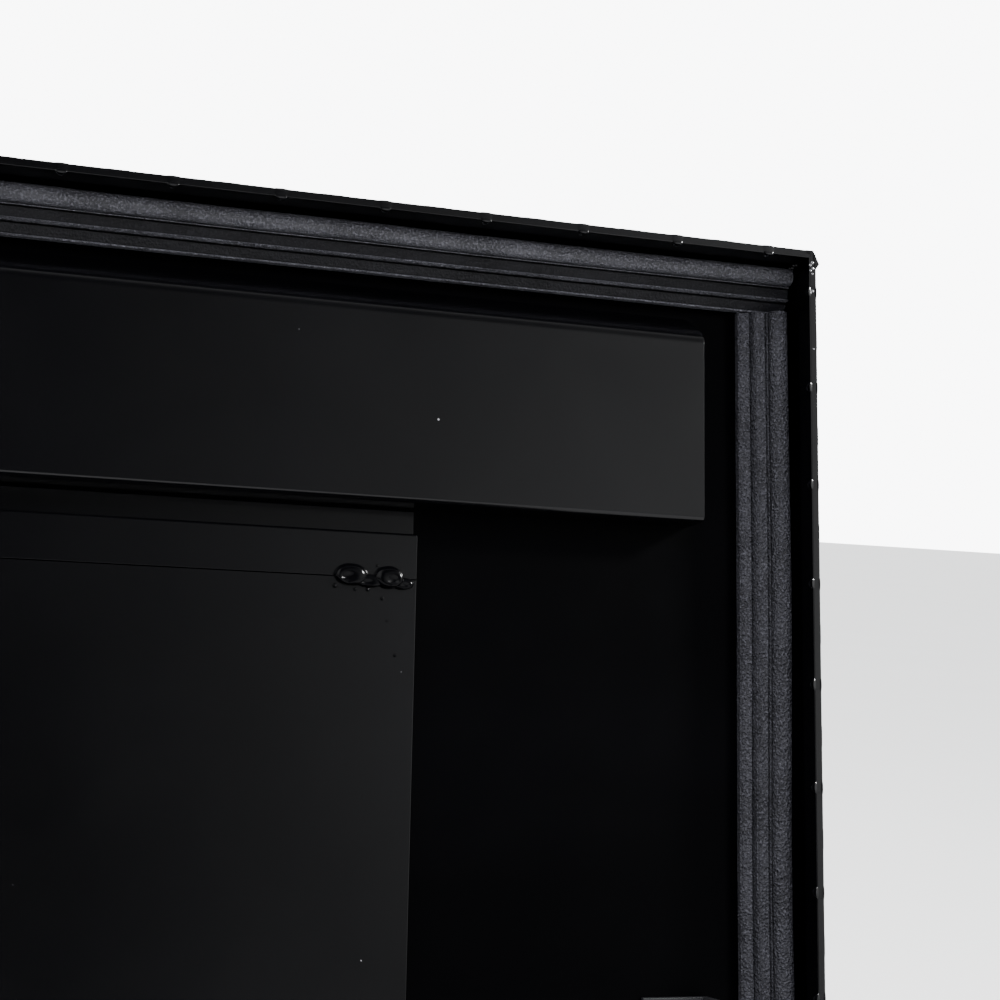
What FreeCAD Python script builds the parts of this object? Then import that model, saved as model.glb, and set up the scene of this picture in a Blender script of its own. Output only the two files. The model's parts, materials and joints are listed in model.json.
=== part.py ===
import FreeCAD, Part
import math
import os
import re

import Sketcher

# A chest-type tool box for a pick-up bed, in millimetres, at rest with its lid open on its stop.
# Origin: centre of the underside. +X along the length, -Y the latch side, +Z up.
# The lid and everything on it is designed shut, in place on the case, and then turned open
# about the piano hinge by one Placement.

DIMENSIONS = (
    ("box_width", 1238, "case, outside, end to end"),
    ("box_depth", 376, "case, outside, front to rear"),
    ("box_height", 380, "case, floor underside to rim"),
    ("plate", 1.6, "tread plate, without its lugs"),
    ("rim_width", 20, "rim turned in at the top of the case"),
    ("rim_lip", 12, "return lip under the rim's inner edge"),
    ("weld_leg", 3, "leg of the inside corner welds"),
    ("lid_overhang", 6, "lid past the case at the front and ends"),
    ("lid_flange", 30, "lid flange, inside the skin to the hemmed edge"),
    ("lid_rear_gap", 1, "rim to the lid's rear flange, shut"),
    ("hem_height", 10, "folded-back hem of the lid flange"),
    ("open_angle", 100, "lid, shut to its stop"),
    ("seal_inset", 2.6, "lid edge to the seal"),
    ("seal_width", 21, "seal strip, base"),
    ("seal_height", 14.5, "seal strip, uncompressed"),
    ("seal_gap", 0.3, "rim to the uncompressed seal, shut"),
    ("thin_sheet", 1.2, "stiffeners in the lid"),
    ("striker_web", 54, "lid front edge to the striker's web"),
    ("channel_toe", 25.6, "lid front edge to the foot of the channel's slope"),
    ("channel_front", 37, "lid front edge to the channel's face"),
    ("channel_rear", 113.6, "lid front edge to the channel's rear wall"),
    ("channel_rise", 19, "channel face below the skin"),
    ("shoulder_bend", 7, "soft bend at the front of the channel's face"),
    ("channel_bend", 2.4, "crisp bend at the rear of the channel's face"),
    ("inside_bend", 1.1, "other bends of the thin sheet"),
    ("channel_end", 45, "lid end to the channel's end"),
    ("strip_foot", 114.4, "lid front edge to the strip's foot flange"),
    ("strip_front", 124, "lid front edge to the strip's wall"),
    ("panel_seam", 141.6, "lid front edge to the seam of strip and panel"),
    ("panel_rear", 338, "lid front edge to the panel's rear wall"),
    ("panel_rise", 8, "panel face below the skin"),
    ("panel_end", 160, "lid end to the centre panel's end"),
    ("hinge_length", 1210, "piano hinge"),
    ("hinge_knuckles", 22, "knuckles, both leaves together"),
    ("hinge_sheet", 1.5, "hinge leaf"),
    ("hinge_leaf", 28, "case leaf, pin to its lower edge"),
    ("knuckle_radius", 3.5, "outside of a knuckle"),
    ("hinge_pin_radius", 2, "hinge pin"),
    ("running", 0.05, "radial running clearance"),
    ("hinge_standoff", 3.7, "rear face to the pin's axis"),
    ("strut_plane", 568, "box centre to a strut's middle plane"),
    ("strut_lid_y", 123, "lid stud, shut"),
    ("strut_lid_drop", 18.5, "lid stud below the skin, shut"),
    ("strut_case_y", -40, "case stud"),
    ("strut_case_z", 180, "case stud"),
    ("cylinder_radius", 9, "gas strut cylinder"),
    ("cylinder_bore", 7, "gas strut cylinder, inside"),
    ("cylinder_start", 12, "case stud to the cylinder's base"),
    ("cylinder_length", 212, "gas strut cylinder"),
    ("rod_radius", 4, "gas strut rod"),
    ("socket_radius", 7.5, "ball socket housing"),
    ("socket_width", 14, "ball socket housing, along the stud"),
    ("ball_radius", 5, "ball studs"),
    ("latch_height", 288, "floor to the latch spindle"),
    ("dish_size", 124, "latch dish flange"),
    ("recess_size", 100, "latch dish recess"),
    ("recess_depth", 22, "latch dish recess"),
    ("gasket_sheet", 1.5, "latch gasket"),
    ("spindle_radius", 6, "latch spindle"),
    ("bush_radius", 10, "latch bush, outside"),
    ("handle_stem", 40, "fold pin to the handle bar's middle"),
    ("handle_bar", 76, "T-handle bar, end to end"),
    ("bar_radius", 7, "T-handle bar"),
    ("stem_width", 12, "T-handle stem, along its swing"),
    ("stem_height", 9, "T-handle stem, along the fold pin"),
    ("boss_radius", 9.5, "T-handle boss, around the lock"),
    ("boss_length", 18, "T-handle boss"),
    ("plug_radius", 6, "lock plug"),
    ("fold_pin_radius", 2, "T-handle fold pin"),
    ("bracket_sheet", 2.5, "strut brackets, striker and end handle plates"),
    ("tongue_reach", 55, "spindle to the underside of the tongue's hook"),
    ("bail_height", 262, "floor to the end handles' pivots"),
    ("bail_span", 120, "end handle, between its legs' middles"),
    ("bail_drop", 52, "end handle, pivot to grip"),
    ("bail_radius", 4, "end handle rod"),
    ("bail_pivot", 13, "end panel to the bail's pivot"),
    ("grip_radius", 9, "end handle grip"),
    ("rivet_radius", 2.4, "rivet shank"),
)

doc = FreeCAD.newDocument("TruckToolBox")
sheet = doc.addObject("Spreadsheet::Sheet", "Dims")
for row, (alias, value, note) in enumerate(DIMENSIONS, 1):
    sheet.set(f"A{row}", note)
    sheet.set(f"B{row}", str(value))
    sheet.setAlias(f"B{row}", alias)
doc.recompute()

# Places that many parts share, as expressions of the sheet's cells.
CASE_X, CASE_Y = "box_width / 2", "box_depth / 2"
IN_X, IN_Y = "(box_width / 2 - plate)", "(box_depth / 2 - plate)"
RIM_X, RIM_Y = "(box_width / 2 - rim_width)", "(box_depth / 2 - rim_width)"
RIM_UNDER = "(box_height - plate)"
LID_X = "(box_width / 2 + lid_overhang)"
LID_FRONT = "(0 - box_depth / 2 - lid_overhang)"
SKIN = "(box_height + seal_gap + seal_height)"
LID_EDGE = f"({SKIN} - lid_flange)"
PIN_Y = "(box_depth / 2 + hinge_standoff)"
PIN_Z = "(box_height + lid_rear_gap / 2)"
RIVET_HOLE = "rivet_radius + running"
TOWARDS = {
    "+X": FreeCAD.Vector(1, 0, 0),
    "-X": FreeCAD.Vector(-1, 0, 0),
    "+Y": FreeCAD.Vector(0, 1, 0),
    "-Y": FreeCAD.Vector(0, -1, 0),
    "+Z": FreeCAD.Vector(0, 0, 1),
    "-Z": FreeCAD.Vector(0, 0, -1),
}
SIDES = (("left", -1), ("right", 1))
nodes = []


def cell(text):
    """An expression with each alias written as the sheet's own cell."""
    return re.sub(r"\b([a-z]\w*)", r"Dims.\1", str(text))


def size(text):
    """The value in millimetres of an expression of aliases."""
    values = {alias: float(sheet.get(alias)) for alias, _, _ in DIMENSIONS}
    total = FreeCAD.Units.Quantity(re.sub(r"\b([a-z]\w*)", lambda m: f"({values[m.group(1)]})", str(text)))
    return float(total.Value)


def point(x, y, z):
    return FreeCAD.Vector(size(x), size(y), size(z))


def aimed(at, towards):
    """A Placement that puts a shape's own origin at a point and turns its +Z to a direction."""
    turn = FreeCAD.Rotation(FreeCAD.Vector(0, 0, 1), towards)
    return FreeCAD.Placement(at, turn)


def box(name, x, y, z):
    """A Part::Box from its low and high place on each axis."""
    solid = doc.addObject("Part::Box", name)
    for length, axis, (low, high) in (("Length", "x", x), ("Width", "y", y), ("Height", "z", z)):
        solid.setExpression(length, cell(f"({high}) - ({low})"))
        solid.setExpression(f"Placement.Base.{axis}", cell(low))
    return solid


def cylinder(name, radius, length, at, towards):
    """A Part::Cylinder that starts at a point and runs in one of the six directions."""
    solid = doc.addObject("Part::Cylinder", name)
    solid.Placement = aimed(FreeCAD.Vector(), TOWARDS[towards])
    solid.setExpression("Radius", cell(radius))
    solid.setExpression("Height", cell(length))
    for axis, place in zip("xyz", at):
        solid.setExpression(f"Placement.Base.{axis}", cell(place))
    return solid


def fuse(name, *shapes):
    joined = doc.addObject("Part::MultiFuse", name)
    joined.Shapes = list(shapes)
    joined.Refine = True
    return joined


def cut(name, base, *tools):
    left = doc.addObject("Part::Cut", name)
    left.Base = base
    left.Tool = tools[0] if len(tools) == 1 else fuse(f"{name}_tools", *tools)
    return left


def mirrored(name, source):
    """The same piece on the other side of the box's middle plane."""
    other = doc.addObject("Part::Mirroring", name)
    other.Source = source
    other.Normal = FreeCAD.Vector(1, 0, 0)
    return other


def profile(name, plane, corners, start, length, rounds=()):
    """A Body: an outline on one of its origin planes, padded from start by length.

    corners are (across, up) expressions; rounds are (corner number, radius's alias) bends.
    """
    body = doc.addObject("PartDesign::Body", f"{name}_body")
    outline = body.newObject("Sketcher::SketchObject", f"{name}_outline")
    origin_plane = next(f for f in body.Origin.OriginFeatures if f.Role == plane)
    outline.AttachmentSupport = [(origin_plane, "")]
    outline.MapMode = "FlatFace"
    outline.setExpression("AttachmentOffset.Base.z", cell(start))
    places = [FreeCAD.Vector(size(across), size(up), 0) for across, up in corners]
    for number, place in enumerate(places):
        after = places[(number + 1) % len(places)]
        outline.addGeometry(Part.LineSegment(place, after), False)
    for number in range(len(places)):
        outline.addConstraint(
            Sketcher.Constraint("Coincident", number, 2, (number + 1) % len(places), 1)
        )
    for number, (across, up) in enumerate(corners):
        for kind, place in (("DistanceX", across), ("DistanceY", up)):
            made = outline.addConstraint(Sketcher.Constraint(kind, -1, 1, number, 1, size(place)))
            outline.setExpression(f"Constraints[{made}]", cell(place))
    pad = body.newObject("PartDesign::Pad", f"{name}_pad")
    pad.Profile = outline
    pad.setExpression("Length", cell(length))
    doc.recompute()
    for radius in sorted({radius for _, radius in rounds}):
        bends = [places[number] for number, own in rounds if own == radius]
        fillet = body.newObject("PartDesign::Fillet", f"{name}_{radius}")
        before = fillet.BaseFeature
        fillet.Base = (before, edges_at(before.Shape, outline, bends))
        fillet.setExpression("Radius", cell(radius))
        doc.recompute()
    return body


def edges_at(shape, outline, bends):
    """Names of the padded edges that stand on the given corners of the outline."""
    along = outline.Placement.Rotation.multVec(FreeCAD.Vector(0, 0, 1))
    found = []
    for number, edge in enumerate(shape.Edges, 1):
        if len(edge.Vertexes) != 2 or abs(edge.tangentAt(edge.FirstParameter).dot(along)) < 0.999:
            continue
        local = outline.Placement.inverse().multVec(edge.Vertexes[0].Point)
        if any(math.hypot(local.x - bend.x, local.y - bend.y) < 0.01 for bend in bends):
            found.append(f"Edge{number}")
    return found


def drill(name, places, towards, radius, length):
    """One tool for a row of equal holes."""
    tool = doc.addObject("Part::Feature", name)
    holes = [Part.makeCylinder(size(radius), size(length), at, TOWARDS[towards]) for at in places]
    tool.Shape = Part.makeCompound(holes)
    return tool


def rivet_shape(grip):
    """A blind rivet along +Z: a domed head under z = 0, a shank, and a set tail past the grip."""
    shank = size("rivet_radius")
    head, tail = 1.8 * shank, 1.25 * shank
    dome = Part.makeCone(0.55 * head, head, 0.7 * shank, FreeCAD.Vector(0, 0, -0.7 * shank))
    body = Part.makeCylinder(shank, grip + 0.5 * shank)
    bulge = Part.makeCylinder(tail, 0.5 * shank, FreeCAD.Vector(0, 0, grip))
    return dome.fuse([body, bulge]).removeSplitter()


def rivets(name, places, towards, grip):
    """A group of equal rivets, each a solid of its own. towards is from head to tail."""
    group = doc.addObject("Part::Feature", name)
    one = rivet_shape(size(grip))
    placed = []
    for at in places:
        copy = one.copy()
        copy.Placement = aimed(at, TOWARDS[towards])
        placed.append(copy)
    group.Shape = Part.makeCompound(placed)
    return group


def node(name, made):
    """Names a finished sub-part, which becomes parts/NAME.step."""
    made.Label = name
    nodes.append(made)
    return made


# ---- places of the rivets ------------------------------------------------------------------


def hinge_rivet_places(z):
    """Two rivets to every knuckle pair of the piano hinge."""
    count = int(size("hinge_knuckles")) // 2
    pitch = size("hinge_length") / count
    first = -size("hinge_length") / 2 + pitch / 2
    return [FreeCAD.Vector(first + pitch * number, size("box_depth / 2"), z) for number in range(count)]


CASE_LEAF_RIVET_Z = size(f"{PIN_Z} - hinge_leaf * 0.6")
LID_LEAF_RIVET_Z = size(f"({PIN_Z} + {SKIN}) / 2 + 1.5")
HANDLE_RIVETS = [(y, z) for y in (-36, 36) for z in (-12, 12)]
LATCH_RIVETS = [
    FreeCAD.Vector(x, 0, z) for x in (-56, 56) for z in (-56, 56)
]
STRUT_CASE_RIVETS = [(y, z) for y in (-23, 23) for z in (-12, 12)]
STRUT_LID_RIVETS = [-11, 11]
STRIKER_RIVETS = [-13, 13]


# ---- case ----------------------------------------------------------------------------------


def front_or_rear(name, side):
    """A wall plate with its rim turned in and a return lip; side is -1 front, 1 rear."""

    def span(low, high):
        ends = (f"{side} * ({low})", f"{side} * ({high})")
        return ends if side > 0 else ends[::-1]

    wall = box(f"{name}_wall", (f"0 - {IN_X}", IN_X), span(IN_Y, CASE_Y), ("0", "box_height"))
    rim = box(
        f"{name}_rim", (f"0 - {IN_X}", IN_X), span(RIM_Y, IN_Y), (RIM_UNDER, "box_height")
    )
    lip = box(
        f"{name}_lip",
        (f"0 - {RIM_X}", RIM_X),
        span(RIM_Y, f"{RIM_Y} + plate"),
        (f"{RIM_UNDER} - rim_lip", RIM_UNDER),
    )
    return fuse(f"{name}_folded", wall, rim, lip)


def make_case():
    front = front_or_rear("front_panel", -1)
    window = box(
        "latch_window",
        ("0 - recess_size / 2", "recess_size / 2"),
        (f"0 - {CASE_Y} - 1", f"0 - {IN_Y} + 1"),
        ("latch_height - recess_size / 2", "latch_height + recess_size / 2"),
    )
    latch_places = [
        at + point("0", f"0 - {CASE_Y} - 5", "latch_height") for at in LATCH_RIVETS
    ]
    latch_holes = drill("front_panel_holes", latch_places, "+Y", RIVET_HOLE, "10")
    node("front_panel", cut("front_panel_cut", front, window, latch_holes))

    rear = front_or_rear("rear_panel", 1)
    hinge_places = [at - FreeCAD.Vector(0, 5, 0) for at in hinge_rivet_places(CASE_LEAF_RIVET_Z)]
    hinge_holes = drill("rear_panel_holes", hinge_places, "+Y", RIVET_HOLE, "10")
    node("rear_panel", cut("rear_panel_cut", rear, hinge_holes))

    wall = box("end_wall", (IN_X, CASE_X), (f"0 - {CASE_Y}", CASE_Y), ("0", "box_height"))
    rim = box("end_rim", (RIM_X, IN_X), (f"0 - {RIM_Y}", RIM_Y), (RIM_UNDER, "box_height"))
    lip = box(
        "end_lip",
        (RIM_X, f"{RIM_X} + plate"),
        (f"0 - {RIM_Y}", RIM_Y),
        (f"{RIM_UNDER} - rim_lip", RIM_UNDER),
    )
    inside = size(IN_X) - 5
    handle_places = [
        FreeCAD.Vector(inside, y, size("bail_height") + z) for y, z in HANDLE_RIVETS
    ]
    strut_places = [
        FreeCAD.Vector(inside, size("strut_case_y") + y, size("strut_case_z") + z)
        for y, z in STRUT_CASE_RIVETS
    ]
    holes = drill("end_panel_holes", handle_places + strut_places, "+X", RIVET_HOLE, "10")
    end = node("end_panel_right", cut("end_panel_cut", fuse("end_folded", wall, rim, lip), holes))
    node("end_panel_left", mirrored("end_panel_mirror", end))

    node(
        "floor_panel",
        box("floor", (f"0 - {IN_X}", IN_X), (f"0 - {IN_Y}", IN_Y), ("0", "plate")),
    )
    node("corner_welds", case_welds())


def case_welds():
    """A fillet weld up each inside corner of the case."""
    leg = size("weld_leg")
    low, high = size("plate"), size(RIM_UNDER)
    beads = []
    for side_x in (-1, 1):
        for side_y in (-1, 1):
            corner = FreeCAD.Vector(side_x * size(IN_X), side_y * size(IN_Y), low)
            along_x = corner - FreeCAD.Vector(side_x * leg, 0, 0)
            along_y = corner - FreeCAD.Vector(0, side_y * leg, 0)
            face = Part.Face(Part.makePolygon([corner, along_x, along_y, corner]))
            beads.append(face.extrude(FreeCAD.Vector(0, 0, high - low)))
    welds = doc.addObject("Part::Feature", "corner_weld_beads")
    welds.Shape = Part.makeCompound(beads)
    return welds


# ---- lid, shut -----------------------------------------------------------------------------


def from_front(inset):
    """A Y place on the lid, measured back from the lid's front edge."""
    return f"{LID_FRONT} + {inset}"


def make_lid_pan():
    top = f"{SKIN} + plate"
    skin = box("lid_skin", (f"0 - {LID_X}", LID_X), (LID_FRONT, CASE_Y), (SKIN, top))
    front = box(
        "lid_front_flange",
        (f"0 - {LID_X}", LID_X),
        (LID_FRONT, f"{LID_FRONT} + plate"),
        (LID_EDGE, SKIN),
    )
    hem = box(
        "lid_front_hem",
        (f"0 - {LID_X} + plate", f"{LID_X} - plate"),
        (f"{LID_FRONT} + plate", f"{LID_FRONT} + 2 * plate"),
        (LID_EDGE, f"{LID_EDGE} + hem_height"),
    )
    rear = box(
        "lid_rear_flange",
        (f"0 - {LID_X}", LID_X),
        (IN_Y, CASE_Y),
        ("box_height + lid_rear_gap", SKIN),
    )
    pieces = [skin, front, hem, rear]
    for name, side in SIDES:
        outer, inner = LID_X, f"({LID_X} - plate)"
        for piece, low, high, top_z in (
            ("flange", inner, outer, SKIN),
            ("hem", f"{inner} - plate", inner, f"{LID_EDGE} + hem_height"),
        ):
            ends = (low, high) if side > 0 else (f"0 - ({high})", f"0 - ({low})")
            pieces.append(
                box(f"lid_{name}_{piece}", ends, (LID_FRONT, CASE_Y), (LID_EDGE, top_z))
            )
    pan = fuse("lid_folded", *pieces)
    hinge_places = [at - FreeCAD.Vector(0, 5, 0) for at in hinge_rivet_places(LID_LEAF_RIVET_Z)]
    hinge_holes = drill("lid_hinge_holes", hinge_places, "+Y", RIVET_HOLE, "10")
    bracket_places = []
    for _, side in SIDES:
        for offset in STRUT_LID_RIVETS:
            y = size("strut_lid_y") + offset
            bracket_places.append(FreeCAD.Vector(side * lid_foot_middle(), y, size(SKIN) - 5))
    bracket_holes = drill("lid_bracket_holes", bracket_places, "+Z", RIVET_HOLE, "12")
    return cut("lid_pan_cut", pan, hinge_holes, bracket_holes)


def lid_foot_middle():
    """The middle, along X, of a lid strut bracket's foot."""
    return size("strut_plane + 6.5")


def make_lid_welds():
    """Small welds inside the lid's two front corners, on the hems."""
    leg = size("hem_height") * 0.25
    beads = []
    for side in (-1, 1):
        corner = FreeCAD.Vector(
            side * size(f"{LID_X} - 2 * plate"), size(f"{LID_FRONT} + 2 * plate"), size(LID_EDGE)
        )
        along_x = corner - FreeCAD.Vector(side * leg, 0, 0)
        along_y = corner + FreeCAD.Vector(0, leg, 0)
        face = Part.Face(Part.makePolygon([corner, along_x, along_y, corner]))
        beads.append(face.extrude(FreeCAD.Vector(0, 0, size("hem_height"))))
    welds = doc.addObject("Part::Feature", "lid_corner_weld_beads")
    welds.Shape = Part.makeCompound(beads)
    return welds


def make_channel():
    """The wide stiffener behind the lid's front edge: a sloped front, a flat face, a rear wall."""
    face = f"({SKIN} - channel_rise)"
    corners = (
        (from_front("channel_toe"), SKIN),
        (from_front("channel_front"), face),
        (from_front("channel_rear"), face),
        (from_front("channel_rear"), SKIN),
        (from_front("channel_rear - thin_sheet"), SKIN),
        (from_front("channel_rear - thin_sheet"), f"{face} + thin_sheet"),
        (from_front("channel_front + thin_sheet * 0.7"), f"{face} + thin_sheet"),
        (from_front("channel_toe + thin_sheet * 1.2"), SKIN),
    )
    body = profile(
        "lid_channel",
        "YZ_Plane",
        corners,
        f"0 - {LID_X} + channel_end",
        f"2 * ({LID_X} - channel_end)",
        rounds=((1, "shoulder_bend"), (2, "channel_bend"), (5, "inside_bend")),
    )
    striker_places = [
        FreeCAD.Vector(x, size(from_front("striker_web")) + 14, size(face) - 5)
        for x in STRIKER_RIVETS
    ]
    holes = drill("channel_holes", striker_places, "+Z", RIVET_HOLE, "10")
    return cut("lid_channel_cut", body, holes)


def make_panel_strip():
    """The folded strip at the front of the centre panel: foot flange, wall, face."""
    face = f"({SKIN} - panel_rise)"
    corners = (
        (from_front("strip_foot"), f"{SKIN} - thin_sheet"),
        (from_front("strip_front"), f"{SKIN} - thin_sheet"),
        (from_front("strip_front"), face),
        (from_front("panel_seam"), face),
        (from_front("panel_seam"), f"{face} + thin_sheet"),
        (from_front("strip_front + thin_sheet"), f"{face} + thin_sheet"),
        (from_front("strip_front + thin_sheet"), SKIN),
        (from_front("strip_foot"), SKIN),
    )
    return profile(
        "lid_strip",
        "YZ_Plane",
        corners,
        f"0 - {LID_X} + panel_end",
        f"2 * ({LID_X} - panel_end)",
        rounds=((2, "inside_bend"),),
    )


def make_centre_panel():
    """A shallow tray, face down, closed at its ends and rear, butted to the strip at its front."""
    face = f"({SKIN} - panel_rise)"
    end = f"({LID_X} - panel_end)"
    front, rear = from_front("panel_seam + 0.3"), from_front("panel_rear")
    block = box("panel_block", (f"0 - {end}", end), (front, rear), (face, SKIN))
    hollow = box(
        "panel_hollow",
        (f"0 - {end} + thin_sheet", f"{end} - thin_sheet"),
        (f"{front} - 1", f"{rear} - thin_sheet"),
        (f"{face} + thin_sheet", f"{SKIN} + 1"),
    )
    return cut("centre_panel_cut", block, hollow)


def make_panel_welds():
    """A short ridged bead across the seam at each end of the centre panel."""
    ridge, length, count = 3.2, 34, 5
    beads = []
    y = size(from_front("panel_seam")) + 0.15
    z = size(f"{SKIN} - panel_rise")
    for side in (-1, 1):
        outer = size(f"{LID_X} - panel_end") - 5
        lumps = []
        for number in range(count):
            x = side * (outer - length * (number + 0.5) / count)
            lump = Part.makeSphere(ridge * 1.4, FreeCAD.Vector(x, y, z + ridge * 0.7))
            lumps.append(lump)
        bead = lumps[0].fuse(lumps[1:])
        under = Part.makeBox(length + 20, 20, 10, FreeCAD.Vector(side * (outer - length / 2), y, z))
        under.translate(FreeCAD.Vector(-length / 2 - 10, -10, 0))
        beads.append(bead.cut(under).removeSplitter())
    welds = doc.addObject("Part::Feature", "panel_weld_beads")
    welds.Shape = Part.makeCompound([solid for bead in beads for solid in bead.Solids])
    return welds


def seal_outline(start, direction):
    """The seal's section: a flat base on the skin, a bulb at the edge side, a ribbed slope inwards."""
    section = ((0, 0), (24, 0), (24, 4), (20, 11), (14, 15), (12, 18), (3, 18), (0, 14))
    wide, tall = size("seal_width") / 24, size("seal_height") / 18
    return [
        (f"{start} + ({direction * across * wide})", f"{SKIN} - ({up * tall})")
        for across, up in section
    ]


def make_seals():
    edge = f"({LID_X} - seal_inset)"
    front = from_front("seal_inset")
    strip = profile("seal_front", "YZ_Plane", seal_outline(front, 1), f"0 - {edge}", f"2 * {edge}")
    node("seal_front", strip)
    rear_start = f"({IN_Y} - 2)"
    strip = profile(
        "seal_rear", "YZ_Plane", seal_outline(rear_start, -1), f"0 - {edge}", f"2 * {edge}"
    )
    node("seal_rear", strip)
    low = from_front("seal_inset + seal_width + 0.2")
    high = f"({rear_start} - seal_width - 0.2)"
    for name, side in SIDES:
        # the XZ plane's normal is -Y, so the pad starts at the rear end and runs forward
        strip = profile(
            f"seal_{name}",
            "XZ_Plane",
            seal_outline(f"{side} * {edge}", -side),
            f"0 - {high}",
            f"{high} - ({low})",
        )
        node(f"seal_{name}", strip)


def make_striker():
    """The bent tab under the channel that the latch tongue hooks over."""
    face = f"({SKIN} - channel_rise)"
    web = from_front("striker_web")
    foot_top = "latch_height + tongue_reach - 4"
    flange = box(
        "striker_flange", ("-20", "20"), (web, f"{web} + 28"), (f"{face} - bracket_sheet", face)
    )
    foot_under = f"{foot_top} - bracket_sheet"
    plate = box("striker_web", ("-10", "10"), (web, f"{web} + bracket_sheet"), (foot_under, face))
    foot = box(
        "striker_foot",
        ("-10", "10"),
        (f"{web} - 12.5", web),
        (foot_under, foot_top),
    )
    places = [
        FreeCAD.Vector(x, size(from_front("striker_web")) + 14, size(face) - 5)
        for x in STRIKER_RIVETS
    ]
    holes = drill("striker_holes", places, "+Z", RIVET_HOLE, "10")
    node("striker", cut("striker_cut", fuse("striker_bent", flange, plate, foot), holes))
    heads = [at + FreeCAD.Vector(0, 0, 5 - size("bracket_sheet")) for at in places]
    node("striker_rivets", rivets("striker_rivet_group", heads, "+Z", "bracket_sheet + thin_sheet"))


def make_lid():
    node("lid_pan", make_lid_pan())
    node("lid_corner_welds", make_lid_welds())
    node("lid_channel", make_channel())
    node("lid_panel_strip", make_panel_strip())
    node("lid_centre_panel", make_centre_panel())
    node("lid_panel_welds", make_panel_welds())
    make_seals()
    make_striker()


# ---- piano hinge ---------------------------------------------------------------------------


def hinge_leaf(name, first, low, high, tab):
    """A leaf with every second knuckle; tab is the Z where the leaf turns into its knuckles."""
    count = int(size("hinge_knuckles"))
    pitch = size("hinge_length") / count
    pin = point("0", PIN_Y, PIN_Z)
    outer, bore = size("knuckle_radius"), size("hinge_pin_radius + running")
    plate_y = (CASE_Y, f"{CASE_Y} + hinge_sheet")
    plate = box(f"{name}_plate", ("0 - hinge_length / 2", "hinge_length / 2"), plate_y, (low, high))
    rings, bores = [], []
    for number in range(first, count, 2):
        start = -size("hinge_length") / 2 + pitch * number + 0.2
        at = FreeCAD.Vector(start, pin.y, pin.z)
        width = pitch - 0.4
        ring = Part.makeCylinder(outer, width, at, TOWARDS["+X"])
        bottom, top = sorted((tab, pin.z))
        arm = Part.makeBox(
            width, size("hinge_sheet"), top - bottom, FreeCAD.Vector(start, size(CASE_Y), bottom)
        )
        ring_cut = Part.makeCylinder(bore, width + 2, at - FreeCAD.Vector(1, 0, 0), TOWARDS["+X"])
        rings.append(ring.fuse(arm))
        bores.append(ring_cut)
    knuckles = doc.addObject("Part::Feature", f"{name}_knuckles")
    knuckles.Shape = Part.makeCompound(rings)
    bore_tool = doc.addObject("Part::Feature", f"{name}_bores")
    bore_tool.Shape = Part.makeCompound(bores)
    return fuse(f"{name}_formed", plate, knuckles), bore_tool


def make_hinge():
    gap = "knuckle_radius + 0.5"
    case_top, lid_bottom = f"{PIN_Z} - ({gap})", f"{PIN_Z} + {gap}"
    leaf, bores = hinge_leaf("case_leaf", 0, f"{PIN_Z} - hinge_leaf", case_top, size(case_top))
    places = hinge_rivet_places(CASE_LEAF_RIVET_Z)
    holes = drill("case_leaf_holes", places, "+Y", RIVET_HOLE, "5")
    node("hinge_leaf_case", cut("case_leaf_cut", leaf, bores, holes))
    heads = [at + FreeCAD.Vector(0, size("hinge_sheet"), 0) for at in places]
    node("hinge_rivets_case", rivets("case_rivet_group", heads, "-Y", "hinge_sheet + plate"))

    leaf, bores = hinge_leaf("lid_leaf", 1, lid_bottom, f"{SKIN} - 1", size(lid_bottom))
    places = hinge_rivet_places(LID_LEAF_RIVET_Z)
    holes = drill("lid_leaf_holes", places, "+Y", RIVET_HOLE, "5")
    node("hinge_leaf_lid", cut("lid_leaf_cut", leaf, bores, holes))
    heads = [at + FreeCAD.Vector(0, size("hinge_sheet"), 0) for at in places]
    node("hinge_rivets_lid", rivets("lid_rivet_group", heads, "-Y", "hinge_sheet + plate"))
    node(
        "hinge_pin",
        cylinder(
            "hinge_rod",
            "hinge_pin_radius",
            "hinge_length + 4",
            ("0 - hinge_length / 2 - 2", PIN_Y, PIN_Z),
            "+X",
        ),
    )


# ---- gas struts ----------------------------------------------------------------------------


def strut_ends():
    """(case stud, lid stud with the lid open), both in the strut's own plane, x = 0."""
    case = point("0", "strut_case_y", "strut_case_z")
    shut = point("0", "strut_lid_y", f"{SKIN} - strut_lid_drop")
    return case, lid_turn().multVec(shut)


def ball_stud(name, base, ball, neck):
    """A turned stud along -X, from a bracket's face at X base to a ball with its middle at X ball."""
    radius, collar = size("ball_radius"), 6
    shoulder = base - 2
    neck_end = ball + math.sqrt(radius**2 - neck**2)
    waist = ball + radius * math.cos(math.radians(80))
    places = [(base, 0), (base, collar), (shoulder, collar), (shoulder, neck), (neck_end, neck)]
    corners = [FreeCAD.Vector(x, 0, z) for x, z in places]
    edges = [Part.LineSegment(a, b).toShape() for a, b in zip(corners, corners[1:])]
    crown = FreeCAD.Vector(waist, 0, radius * math.sin(math.radians(80)))
    tip = FreeCAD.Vector(ball - radius, 0, 0)
    edges.append(Part.Arc(corners[-1], crown, tip).toShape())
    edges.append(Part.LineSegment(tip, corners[0]).toShape())
    section = Part.Face(Part.Wire(edges))
    stud = doc.addObject("Part::Feature", name)
    stud.Shape = section.revolve(FreeCAD.Vector(), FreeCAD.Vector(1, 0, 0), 360)
    return stud


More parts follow.
